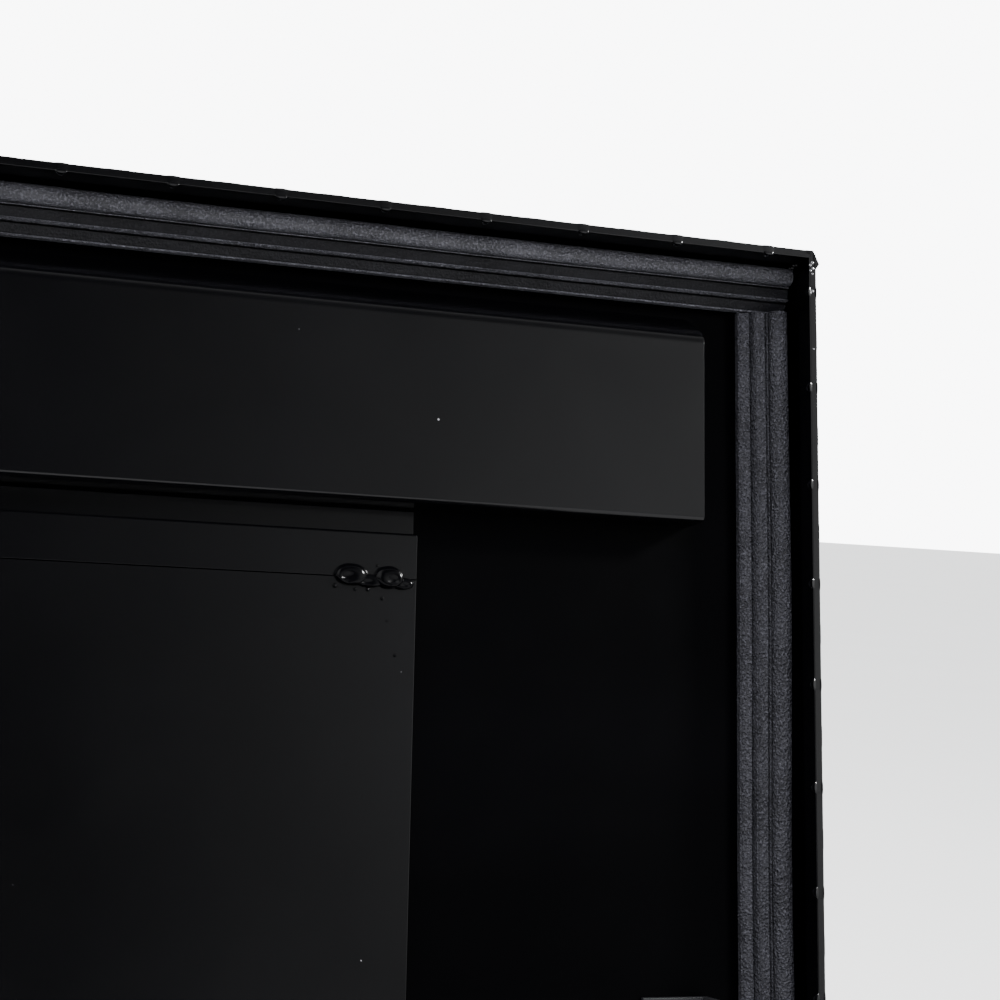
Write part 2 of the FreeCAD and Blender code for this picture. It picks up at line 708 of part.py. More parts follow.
def socket(name, pocket):
    """A ball socket at the origin with its threaded shank end towards +Z, open towards +X."""
    half = "socket_width / 2"
    drum = cylinder(f"{name}_drum", "socket_radius", "socket_width", (f"0 - {half}", "0", "0"), "+X")
    shank = cylinder(f"{name}_shank", "socket_radius * 0.8", "cylinder_start", ("0", "0", "0"), "+Z")
    if not pocket:
        return fuse(f"{name}_solid", drum, shank)
    hollow = cylinder(
        f"{name}_pocket", "ball_radius + running", half, ("0", "0", "0"), "+X"
    )
    seat = doc.addObject("Part::Sphere", f"{name}_seat")
    seat.setExpression("Radius", cell("ball_radius + running"))
    return cut(f"{name}_bored", fuse(f"{name}_solid", drum, shank), hollow, seat)


def make_strut():
    """The right-hand strut and its brackets; the left one is its mirror image."""
    case_end, lid_end = strut_ends()
    along = lid_end - case_end
    reach = along.Length
    along.normalize()
    plane = size("strut_plane")
    base_place = aimed(case_end + FreeCAD.Vector(plane, 0, 0), along)
    made = {}

    foot = box("case_foot", (f"{IN_X} - bracket_sheet", IN_X), ("-32", "32"), ("-20", "20"))
    tower = box(
        "case_tower", ("strut_plane + 20", f"{IN_X} - bracket_sheet"), ("-14", "14"), ("-20", "20")
    )
    inside = box(
        "case_inside",
        ("strut_plane + 20 + bracket_sheet", f"{IN_X} + 1"),
        ("bracket_sheet - 14", "14 - bracket_sheet"),
        ("-21", "21"),
    )
    foot_holes = drill(
        "case_foot_holes",
        [FreeCAD.Vector(size(IN_X) - 5, y, z) for y, z in STRUT_CASE_RIVETS],
        "+X",
        RIVET_HOLE,
        "10",
    )
    bracket = cut("case_bracket", fuse("case_bracket_bent", foot, tower), inside, foot_holes)
    bracket.Placement = FreeCAD.Placement(case_end, FreeCAD.Rotation())
    made["strut_bracket_case"] = bracket

    stud = ball_stud("case_stud", size("strut_plane + 20"), plane, 3.5)
    stud.Placement = FreeCAD.Placement(case_end, FreeCAD.Rotation())
    made["strut_stud_case"] = stud

    lid_face = size("strut_plane + socket_width / 2") + 0.3
    shut = point("0", "strut_lid_y", f"{SKIN} - strut_lid_drop")
    plate = box(
        "lid_plate",
        ("strut_plane + 18", "strut_plane + 18 + bracket_sheet"),
        ("-18", "18"),
        ("-8", "strut_lid_drop"),
    )
    toe = box(
        "lid_toe",
        ("strut_plane - 7", "strut_plane + 18"),
        ("-18", "18"),
        ("strut_lid_drop - bracket_sheet", "strut_lid_drop"),
    )
    toe_holes = drill(
        "lid_toe_holes",
        [FreeCAD.Vector(lid_foot_middle(), y, 0) for y in STRUT_LID_RIVETS],
        "+Z",
        RIVET_HOLE,
        "20",
    )
    bracket = cut("lid_bracket", fuse("lid_bracket_bent", plate, toe), toe_holes)
    bracket.Placement = lid_turn().multiply(FreeCAD.Placement(shut, FreeCAD.Rotation()))
    made["strut_bracket_lid"] = bracket

    ball = lid_face + size("ball_radius")
    stud = ball_stud("lid_stud", size("strut_plane + 18"), ball, 3.5)
    stud.Placement = lid_turn().multiply(FreeCAD.Placement(shut, FreeCAD.Rotation()))
    made["strut_stud_lid"] = stud

    lower = socket("case_socket", True)
    lower.Placement = base_place
    made["strut_socket_case"] = lower

    upper = socket("lid_socket", False)
    upper.Placement = aimed(lid_end + FreeCAD.Vector(plane, 0, 0), along * -1)
    made["strut_socket_lid"] = upper

    start = "cylinder_start"
    tube = cylinder("tube", "cylinder_radius", "cylinder_length", ("0", "0", start), "+Z")
    bore = cylinder("bore", "cylinder_bore", "cylinder_length - 13", ("0", "0", f"{start} + 4"), "+Z")
    mouth = f"{start} + cylinder_length - 12"
    guide = cylinder("guide", "rod_radius + running", "20", ("0", "0", mouth), "+Z")
    barrel = cut("barrel", tube, bore, guide)
    barrel.Placement = base_place
    made["strut_cylinder"] = barrel

    piston_top = size("cylinder_start + cylinder_length") - 12
    piston = doc.addObject("Part::Cylinder", "piston")
    piston.setExpression("Radius", cell("cylinder_bore - running"))
    piston.Height = 8
    piston.Placement.Base = FreeCAD.Vector(0, 0, piston_top - 8)
    rod = doc.addObject("Part::Cylinder", "rod")
    rod.setExpression("Radius", cell("rod_radius"))
    rod.Height = reach - size("cylinder_start") - piston_top
    rod.Placement.Base = FreeCAD.Vector(0, 0, piston_top)
    whole = fuse("rod_and_piston", piston, rod)
    whole.Placement = base_place
    made["strut_rod"] = whole

    for name, right in made.items():
        node(f"{name}_right", right)
        node(f"{name}_left", mirrored(f"{name}_mirror", right))
    make_strut_rivets(case_end)


def make_strut_rivets(case_end):
    """The rivets of both case brackets, and of both lid brackets, each kind one group."""
    group = []
    lid_group = []
    for _, side in SIDES:
        towards = "-X" if side > 0 else "+X"
        outer = side * size(CASE_X)
        for y, z in STRUT_CASE_RIVETS:
            at = FreeCAD.Vector(outer, case_end.y + y, case_end.z + z)
            one = rivet_shape(size("plate + bracket_sheet"))
            one.Placement = aimed(at, TOWARDS[towards])
            group.append(one)
        for offset in STRUT_LID_RIVETS:
            at = FreeCAD.Vector(
                side * lid_foot_middle(), size("strut_lid_y") + offset, size(f"{SKIN} + plate")
            )
            one = rivet_shape(size("plate + bracket_sheet"))
            one.Placement = aimed(at, TOWARDS["-Z"])
            lid_group.append(one)
    case_rivets = doc.addObject("Part::Feature", "strut_case_rivet_group")
    case_rivets.Shape = Part.makeCompound(group)
    node("strut_rivets_case", case_rivets)
    lid_rivets = doc.addObject("Part::Feature", "strut_lid_rivet_group")
    lid_rivets.Shape = Part.makeCompound(lid_group)
    node("strut_rivets_lid", lid_rivets)


# ---- latch, unlocked -----------------------------------------------------------------------


def make_latch():
    """A folding T-handle in a recessed dish. Its tongue lies flat, clear of the striker."""
    low, high = "latch_height - {0} / 2", "latch_height + {0} / 2"

    def square(name, width, front, back):
        return box(
            name,
            (f"0 - ({width}) / 2", f"({width}) / 2"),
            (front, back),
            (low.format(f"({width})"), high.format(f"({width})")),
        )

    face = f"(0 - {CASE_Y})"
    seat = f"({face} - gasket_sheet)"
    back = f"({seat} + recess_depth)"
    front_faces = [at + point("0", f"{seat} - plate", "latch_height") for at in LATCH_RIVETS]
    hole_starts = [at - FreeCAD.Vector(0, 5, 0) for at in front_faces]

    flange = square("dish_flange", "dish_size", f"{seat} - plate", seat)
    tub = square("dish_tub", "recess_size - 0.4", seat, back)
    hollow = square("dish_hollow", "recess_size - 3.4", f"{seat} - plate - 1", f"{back} - 1.5")
    bush_hole = cylinder(
        "dish_bush_hole", "bush_radius", "10", ("0", f"{back} - 5", "latch_height"), "+Y"
    )
    holes = drill("dish_holes", hole_starts, "+Y", RIVET_HOLE, "12")
    node("latch_dish", cut("dish_cut", fuse("dish_pressed", flange, tub), hollow, bush_hole, holes))

    ring = square("gasket_block", "dish_size - 2", seat, face)
    window = square("gasket_window", "recess_size", f"{seat} - 1", f"{face} + 1")
    gasket_holes = drill("gasket_holes", hole_starts, "+Y", RIVET_HOLE, "12")
    node("latch_gasket", cut("gasket_cut", ring, window, gasket_holes))
    node(
        "latch_rivets",
        rivets("latch_rivet_group", front_faces, "+Y", "plate + gasket_sheet + plate"),
    )

    barrel = cylinder(
        "bush_barrel", "bush_radius", "10", ("0", f"{back} - 1.5", "latch_height"), "+Y"
    )
    collar = cylinder(
        "bush_collar", "bush_radius + 3", "2", ("0", f"{back} - 3.5", "latch_height"), "+Y"
    )
    bush_bore = cylinder(
        "bush_bore", "spindle_radius + running", "20", ("0", f"{back} - 8", "latch_height"), "+Y"
    )
    node("latch_bush", cut("bush_cut", fuse("bush_turned", barrel, collar), bush_bore))
    nut = hexagon("bush_nut_hex", 14, 5, point("0", back, "latch_height"), "+Y")
    nut_bore = cylinder(
        "bush_nut_bore", "bush_radius", "20", ("0", f"{back} - 5", "latch_height"), "+Y"
    )
    node("latch_bush_nut", cut("bush_nut_cut", nut, nut_bore))

    make_spindle(back)
    make_t_handle(back)


def hexagon(name, across_corners, thick, at, towards):
    """A hexagonal prism from a point, by its corner radius."""
    prism = doc.addObject("Part::Prism", name)
    prism.Polygon = 6
    prism.Circumradius = across_corners
    prism.Height = thick
    prism.Placement = aimed(at, TOWARDS[towards])
    return prism


def fold_axis_y(back):
    """Y of the T-handle's fold pin, over the bush's collar."""
    return f"({back} - 13)"


def make_spindle(back):
    pivot = fold_axis_y(back)
    tail = "30.5"
    shaft = cylinder("spindle_shaft", "spindle_radius", tail, ("0", f"{back} - 6", "latch_height"), "+Y")
    head = cylinder("spindle_head", "10", "14", ("0", f"{pivot} - 6.5", "latch_height"), "+Y")
    # the T-handle's stem swings in this slot, which opens the head towards +X and the front
    slot = box(
        "spindle_slot",
        ("-6.5", "11"),
        (f"{pivot} - 8", f"{pivot} + 6.6"),
        ("latch_height - 4.55", "latch_height + 4.55"),
    )
    pin_hole = cylinder(
        "spindle_pin_hole", "fold_pin_radius", "30", ("0", pivot, "latch_height - 15"), "+Z"
    )
    node("latch_spindle", cut("spindle_cut", fuse("spindle_turned", shaft, head), slot, pin_hole))
    fold_pin = cylinder(
        "fold_pin_rod", "fold_pin_radius", "19", ("0", pivot, "latch_height - 9.5"), "+Z"
    )
    node("fold_pin", fold_pin)

    front = f"({back} + 8.7)"
    reach = size("tongue_reach")
    arm = box(
        "tongue_arm",
        (f"{-reach - 3}", "9"),
        (front, f"{front} + 4"),
        ("latch_height - 8", "latch_height + 8"),
    )
    hook = box(
        "tongue_hook",
        (f"{-reach - 3}", f"{-reach}"),
        (f"{front} + 4", f"{front} + 15"),
        ("latch_height - 7", "latch_height + 7"),
    )
    eye = cylinder("tongue_eye", "spindle_radius", "20", ("0", f"{front} - 5", "latch_height"), "+Y")
    node("latch_tongue", cut("tongue_cut", fuse("tongue_bent", arm, hook), eye))
    nut = hexagon("spindle_nut_hex", 11, 6, point("0", f"{front} + 4", "latch_height"), "+Y")
    nut_bore = cylinder("spindle_nut_bore", "spindle_radius", "20", ("0", f"{front}", "latch_height"), "+Y")
    node("spindle_nut", cut("spindle_nut_cut", nut, nut_bore))


def make_t_handle(back):
    pivot = fold_axis_y(back)
    bar_y = f"({pivot} - handle_stem)"
    low, high = "latch_height - stem_height / 2", "latch_height + stem_height / 2"
    stem = box(
        "handle_stem_block", ("0 - stem_width / 2", "stem_width / 2"), (bar_y, pivot), (low, high)
    )
    # round about the fold pin, so that the stem turns inside the spindle's slot
    stem_end = cylinder("handle_stem_end", "stem_width / 2", "stem_height", ("0", pivot, low), "+Z")
    bar = cylinder(
        "handle_bar_rod", "bar_radius", "handle_bar", ("0", bar_y, "latch_height - handle_bar / 2"), "+Z"
    )
    front = f"{bar_y} - bar_radius"
    boss = cylinder("handle_boss", "boss_radius", "boss_length", ("0", front, "latch_height"), "+Y")
    pin_hole = cylinder(
        "handle_pin_hole", "fold_pin_radius + running", "30", ("0", pivot, "latch_height - 15"), "+Z"
    )
    plug_bore = cylinder(
        "plug_bore", "plug_radius + running", "15", ("0", f"{front} - 1", "latch_height"), "+Y"
    )
    handle = cut("t_handle_cut", fuse("t_handle_cast", stem, stem_end, bar, boss), pin_hole, plug_bore)
    node("t_handle", handle)
    plug = cylinder("plug_body", "plug_radius", "13.8", ("0", front, "latch_height"), "+Y")
    keyway = box(
        "keyway",
        ("-3", "3"),
        (f"{front} - 1", f"{front} + 5"),
        ("latch_height - 0.6", "latch_height + 0.6"),
    )
    node("lock_plug", cut("lock_plug_cut", plug, keyway))


# ---- end handles ---------------------------------------------------------------------------


def make_handles():
    """The right-hand end handle, hanging; the left one is its mirror image."""
    pivot_x = f"({CASE_X} + bail_pivot)"
    face = f"{CASE_X} + bracket_sheet"
    plate = box("handle_base", (CASE_X, face), ("-52", "52"), ("bail_height - 20", "bail_height + 20"))
    parts = [plate]
    for name, side in (("front", -1), ("rear", 1)):
        ends = ("36", "48") if side > 0 else ("-48", "-36")
        parts.append(
            box(
                f"handle_ear_{name}",
                (face, f"{pivot_x} + 6"),
                ends,
                ("bail_height - 6", "bail_height + 6"),
            )
        )
    bore = cylinder("ear_bore", "bail_radius + running", "130", (pivot_x, "-65", "bail_height"), "+Y")
    holes = drill(
        "handle_base_holes",
        [FreeCAD.Vector(size(CASE_X) - 2, y, size("bail_height") + z) for y, z in HANDLE_RIVETS],
        "+X",
        RIVET_HOLE,
        "10",
    )
    base = cut("handle_base_cut", fuse("handle_base_pressed", *parts), bore, holes)
    node("handle_plate_right", base)
    node("handle_plate_left", mirrored("handle_plate_mirror", base))

    bail = doc.addObject("Part::Feature", "bail_bent")
    bail.Shape = bail_shape()
    node("handle_bail_right", bail)
    node("handle_bail_left", mirrored("handle_bail_mirror", bail))

    low = "bail_height - bail_drop"
    sleeve = cylinder("grip_sleeve", "grip_radius", "84", (pivot_x, "-42", low), "+Y")
    core = cylinder("grip_core", "bail_radius", "90", (pivot_x, "-45", low), "+Y")
    grip = cut("grip_cut", sleeve, core)
    node("handle_grip_right", grip)
    node("handle_grip_left", mirrored("handle_grip_mirror", grip))

    group = []
    for _, side in SIDES:
        towards = "-X" if side > 0 else "+X"
        for y, z in HANDLE_RIVETS:
            one = rivet_shape(size("plate + bracket_sheet"))
            at = FreeCAD.Vector(side * size(face), y, size("bail_height") + z)
            one.Placement = aimed(at, TOWARDS[towards])
            group.append(one)
    rivet_group = doc.addObject("Part::Feature", "handle_rivet_group")
    rivet_group.Shape = Part.makeCompound(group)
    node("handle_rivets", rivet_group)


def bail_shape():
    """A bent rod: pivots in both ears, two legs and the grip bar, with tangent arcs between."""
    x = size(f"{CASE_X} + bail_pivot")
    top, drop, half = size("bail_height"), size("bail_drop"), size("bail_span / 2")
    bend = 10.0
    inner = 34.0
    corners = [
        FreeCAD.Vector(x, -inner, top),
        FreeCAD.Vector(x, -half, top),
        FreeCAD.Vector(x, -half, top - drop),
        FreeCAD.Vector(x, half, top - drop),
        FreeCAD.Vector(x, half, top),
        FreeCAD.Vector(x, inner, top),
    ]
    edges = []
    start = corners[0]
    for before, corner, after in zip(corners, corners[1:], corners[2:]):
        into = (corner - before).normalize()
        out = (after - corner).normalize()
        enter, leave = corner - into * bend, corner + out * bend
        middle = corner + (out - into) * bend * (1 - math.sqrt(0.5))
        edges.append(Part.LineSegment(start, enter).toShape())
        edges.append(Part.Arc(enter, middle, leave).toShape())
        start = leave
    edges.append(Part.LineSegment(start, corners[-1]).toShape())
    path = Part.Wire(edges)
    ring = Part.Circle(corners[0], FreeCAD.Vector(0, 1, 0), size("bail_radius")).toShape()
    return path.makePipeShell([Part.Wire([ring])], True, False)


# ---- lid opening ---------------------------------------------------------------------------


def lid_turn():
    """The Placement that turns the shut lid open about the hinge pin."""
    pin = point("0", PIN_Y, PIN_Z)
    turn = FreeCAD.Rotation(FreeCAD.Vector(1, 0, 0), -size("open_angle"))
    return FreeCAD.Placement(FreeCAD.Vector(), turn, pin)


LID_NODES = (
    "lid_pan",
    "lid_corner_welds",
    "lid_channel",
    "lid_panel_strip",
    "lid_centre_panel",
    "lid_panel_welds",
    "seal_front",
    "seal_rear",
    "seal_left",
    "seal_right",
    "striker",
    "striker_rivets",
    "hinge_leaf_lid",
    "hinge_rivets_lid",
    "strut_rivets_lid",
)


def open_lid():
    for made in nodes:
        if made.Label in LID_NODES:
            made.Placement = lid_turn().multiply(made.Placement)


# ---- making, checking and writing ----------------------------------------------------------


def check():
    """Stops if the document holds a failed object or a sub-part without a sound shape."""
    failed = [o.Name for o in doc.Objects if {"Invalid", "Error"} & set(o.State)]
    broken = [n.Label for n in nodes if n.Shape.isNull() or not n.Shape.isValid() or not n.Shape.Solids]
    if failed or broken:
        raise RuntimeError(f"failed objects {failed}, broken sub-parts {broken}")


make_case()
make_lid()
make_hinge()
make_strut()
make_latch()
make_handles()
doc.recompute()
open_lid()
doc.recompute()
check()
os.makedirs("parts", exist_ok=True)
for made in nodes:
    made.Shape.exportStep(f"parts/{made.Label}.step")
case_stud, lid_stud = strut_ends()
print(len(nodes), "sub-parts; strut from", case_stud, "to", lid_stud)
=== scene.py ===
import json
import math

import bmesh
import bpy
import numpy as np
from mathutils import Matrix, Vector, noise


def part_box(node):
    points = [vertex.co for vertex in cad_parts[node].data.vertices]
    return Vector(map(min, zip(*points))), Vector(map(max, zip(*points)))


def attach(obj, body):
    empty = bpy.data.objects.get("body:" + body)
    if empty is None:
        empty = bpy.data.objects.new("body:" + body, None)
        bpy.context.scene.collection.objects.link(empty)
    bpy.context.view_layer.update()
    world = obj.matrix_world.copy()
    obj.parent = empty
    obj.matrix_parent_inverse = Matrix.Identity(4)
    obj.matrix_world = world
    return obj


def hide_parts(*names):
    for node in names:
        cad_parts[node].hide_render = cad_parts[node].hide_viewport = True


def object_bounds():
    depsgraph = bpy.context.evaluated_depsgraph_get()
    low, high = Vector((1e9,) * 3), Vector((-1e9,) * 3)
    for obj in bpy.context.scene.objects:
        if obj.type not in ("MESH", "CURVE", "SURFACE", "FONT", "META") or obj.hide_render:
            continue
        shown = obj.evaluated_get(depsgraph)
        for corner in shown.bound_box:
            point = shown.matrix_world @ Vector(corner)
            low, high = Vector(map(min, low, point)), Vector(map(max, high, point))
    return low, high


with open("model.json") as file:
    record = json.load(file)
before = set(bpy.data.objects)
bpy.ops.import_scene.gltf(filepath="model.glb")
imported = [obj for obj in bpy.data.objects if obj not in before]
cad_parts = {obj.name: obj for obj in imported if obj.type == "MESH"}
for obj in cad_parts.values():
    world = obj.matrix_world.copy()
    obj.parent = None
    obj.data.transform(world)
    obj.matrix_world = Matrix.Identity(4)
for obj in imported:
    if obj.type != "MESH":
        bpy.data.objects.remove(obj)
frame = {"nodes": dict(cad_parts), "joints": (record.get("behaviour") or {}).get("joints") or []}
CAD_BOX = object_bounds()
MM = 0.001

# ---- places taken from the frame -----------------------------------------------------------

pin_low, pin_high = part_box("hinge_pin")
PIN = (pin_low + pin_high) / 2
LID_JOINT = next(j for j in frame["joints"] if j["name"] == "lid_hinge")
OPEN = math.radians(max(LID_JOINT["range_deg"]))
# turns a point of the shut lid to its place at rest, with the lid open
LID = (
    Matrix.Translation(PIN)
    @ Matrix.Rotation(-OPEN, 4, "X")
    @ Matrix.Translation(-PIN)
)
UNLID = LID.inverted()


def shut_box(node):
    """(low, high) of a lid node with the lid shut."""
    points = np.array([UNLID @ v.co for v in frame["nodes"][node].data.vertices])
    return Vector(points.min(0)), Vector(points.max(0))


# the lid pan and the case, with the lid shut
PAN_LOW, PAN_HIGH = shut_box("lid_pan")
HEIGHT = PAN_HIGH.z - PAN_LOW.z
DEPTH = PAN_HIGH.y - PAN_LOW.y
HALF_WIDTH = PAN_HIGH.x
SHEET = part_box("floor_panel")[1].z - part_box("floor_panel")[0].z
SKIN = PAN_HIGH.z - SHEET
CASE_LOW, CASE_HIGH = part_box("front_panel")
END_LOW, END_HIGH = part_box("end_panel_right")


# ---- materials -----------------------------------------------------------------------------

class Shade:
    """Builds one procedural material. Textures run in the piece's own metres."""

    def __init__(self, name, colour, rough, metal=0.0):
        self.material = bpy.data.materials.new(name)
        self.material.use_nodes = True
        self.tree = self.material.node_tree
        self.shader = self.tree.nodes["Principled BSDF"]
        self.coords = self.add("ShaderNodeTexCoord").outputs["Object"]
        self.height = None
        self.colour = self.rgb(colour)
        self.rough = self.value(rough)
        self.shader.inputs["Metallic"].default_value = metal

    def add(self, kind):
        return self.tree.nodes.new(kind)

    def link(self, source, target):
        self.tree.links.new(source, target)

    def rgb(self, colour):
        made = self.add("ShaderNodeRGB")
        made.outputs[0].default_value = (*colour, 1)
        return made.outputs[0]

    def value(self, number):
        made = self.add("ShaderNodeValue")
        made.outputs[0].default_value = number
        return made.outputs[0]

    def math(self, kind, a, b, clamp=False):
        made = self.add("ShaderNodeMath")
        made.operation = kind
        made.use_clamp = clamp
        for socket, given in zip(made.inputs, (a, b)):
            if isinstance(given, (int, float)):
                socket.default_value = given
            else:
                self.link(given, socket)
        return made.outputs[0]

    def ramp(self, source, low, high, to_low=0.0, to_high=1.0):
        made = self.add("ShaderNodeMapRange")
        self.link(source, made.inputs["Value"])
        limits = {"From Min": low, "From Max": high, "To Min": to_low, "To Max": to_high}
        for name, number in limits.items():
            made.inputs[name].default_value = number
        return made.outputs["Result"]

    def stretched(self, scales):
        made = self.add("ShaderNodeMapping")
        made.inputs["Scale"].default_value = scales
        self.link(self.coords, made.inputs["Vector"])
        return made.outputs["Vector"]

    def noise(self, scale, detail=2.0, scales=None, distortion=0.0):
        made = self.add("ShaderNodeTexNoise")
        made.inputs["Scale"].default_value = scale
        made.inputs["Detail"].default_value = detail
        made.inputs["Distortion"].default_value = distortion
        self.link(self.stretched(scales) if scales else self.coords, made.inputs["Vector"])
        return made.outputs["Fac"]

    def cells(self, scale):
        made = self.add("ShaderNodeTexVoronoi")
        made.inputs["Scale"].default_value = scale
        self.link(self.coords, made.inputs["Vector"])
        return made

    def mix(self, factor, colour):
        """Mixes a colour over the colour so far."""
        made = self.add("ShaderNodeMix")
        made.data_type = "RGBA"
        self.link(factor, made.inputs["Factor"])
        self.link(self.colour, made.inputs["A"])
        made.inputs["B"].default_value = (*colour, 1)
        self.colour = made.outputs["Result"]

    def roughen(self, factor, amount):
        self.rough = self.math("ADD", self.rough, self.math("MULTIPLY", factor, amount), True)

    def raise_by(self, factor, height):
        """Adds a height in metres to the bump."""
        step = self.math("MULTIPLY", factor, height)
        self.height = step if self.height is None else self.math("ADD", self.height, step)

    def specks(self, scale, radius, share, colour, height=0.0):
        """Sparse small dots: dust nibs in a coating, or grit on rubber."""
        cell = self.cells(scale)
        near = self.math("LESS_THAN", cell.outputs["Distance"], radius * scale)
        split = self.add("ShaderNodeSeparateColor")
        self.link(cell.outputs["Color"], split.inputs["Color"])
        chosen = self.math("GREATER_THAN", split.outputs["Red"], 1 - share)
        mask = self.math("MULTIPLY", near, chosen)
        self.mix(mask, colour)
        if height:
            self.raise_by(mask, height)

    def done(self, **inputs):
        """Joins colour, roughness and bump to the shader and sets its other inputs."""
        self.link(self.colour, self.shader.inputs["Base Color"])
        self.link(self.rough, self.shader.inputs["Roughness"])
        if self.height is not None:
            bump = self.add("ShaderNodeBump")
            bump.inputs["Distance"].default_value = 1.0
            bump.inputs["Strength"].default_value = 1.0
            self.link(self.height, bump.inputs["Height"])
            self.link(bump.outputs["Normal"], self.shader.inputs["Normal"])
        for name, given in inputs.items():
            self.shader.inputs[name.replace("_", " ")].default_value = given
        return self.material


def gloss_black(name, rough, peel, dust, shine=0.4):
    """Stoved black paint: deep colour, orange peel, thin haze and a few dust nibs."""
    made = Shade(name, (0.0004, 0.0004, 0.0006), rough)
    made.mix(made.ramp(made.noise(9, 4), 0.35, 0.75), (0.0009, 0.0009, 0.0013))
    made.roughen(made.noise(22, 5, distortion=0.6), 0.10)
    made.raise_by(made.noise(240, 2), peel)
    made.raise_by(made.noise(18, 2), peel * 4)
    if dust:
        made.specks(42, 0.42 * MM, dust, (0.16, 0.16, 0.17), 0.06 * MM)
        made.specks(130, 0.15 * MM, dust, (0.10, 0.10, 0.11))
    return made.done(Coat_Weight=shine / 2, Coat_Roughness=0.06, Specular_IOR_Level=shine)


def rubber(name, colour, rough, grain=1.0, sheen=0.45):
    """Sponge or moulded rubber: a leathery grain about 1 mm across, with pale grit."""
    made = Shade(name, colour, rough)
    lighter = tuple(c * 1.8 for c in colour)
    made.mix(made.ramp(made.noise(60, 5), 0.4, 0.8), lighter)
    skin = made.noise(1150, 1)
    made.mix(made.ramp(skin, 0.50, 0.68, 0.0, min(grain, 1.0)), tuple(c * 3.0 for c in colour))
    made.raise_by(skin, 0.50 * MM * grain)
    made.raise_by(made.cells(820).outputs["Distance"], 0.35 * MM * grain)
    made.raise_by(made.noise(2600, 2), 0.08 * MM * grain)
    made.roughen(made.noise(300, 3), 0.12)
    made.specks(160, 0.12 * MM, 0.2, tuple(min(1, c * 7) for c in colour))
    return made.done(Specular_IOR_Level=sheen)


def metal(name, colour, rough, brushed=None, stain=0.0, grain=0.0):
    """Bare or plated metal; brushed gives the stretch of the brush lines on each axis."""
    made = Shade(name, colour, rough, metal=1.0)
    if stain:
        darker = tuple(c * (1 - stain) for c in colour)
        made.mix(made.ramp(made.noise(55, 5, distortion=0.8), 0.42, 0.72), darker)
    if brushed:
        lines = made.noise(1, 3, scales=brushed)
        made.roughen(lines, 0.16)
        made.raise_by(lines, 0.012 * MM)
    if grain:
        made.raise_by(made.noise(900, 3), grain)
    made.roughen(made.noise(120, 4), 0.07)
    return made.done()


def satin_black(name, rough):
    """Powder coat with a fine texture and rubbed, slightly paler high spots."""
    made = Shade(name, (0.009, 0.009, 0.0105), rough)
    made.mix(made.ramp(made.noise(45, 4), 0.45, 0.8), (0.016, 0.016, 0.018))
    made.raise_by(made.noise(1100, 3), 0.05 * MM)
    made.roughen(made.noise(80, 4), 0.15)
    return made.done(Coat_Weight=0.12, Coat_Roughness=0.3)


def plastic(name):
    """Black moulded nylon."""
    made = Shade(name, (0.012, 0.012, 0.013), 0.42)
    made.raise_by(made.noise(1800, 2), 0.03 * MM)
    made.mix(made.ramp(made.noise(150, 3), 0.5, 0.8), (0.02, 0.02, 0.021))
    made.roughen(made.noise(90, 3), 0.12)
    return made.done()


def dull_black(name):
    """The smooth back of the tread plate, inside the lid: thin paint with faint streaks, kept near
    black and weakly reflecting as painted shade.
    """
    made = Shade(name, (0.0002, 0.0002, 0.0004), 0.26)
    made.mix(made.ramp(made.noise(5, 3, scales=(1, 1, 3)), 0.4, 0.8), (0.0005, 0.0005, 0.0008))
    made.roughen(made.noise(30, 4), 0.12)
    made.raise_by(made.noise(200, 2), 0.01 * MM)
    made.specks(42, 0.3 * MM, 0.1, (0.16, 0.16, 0.18))
    return made.done(Specular_IOR_Level=0.045)


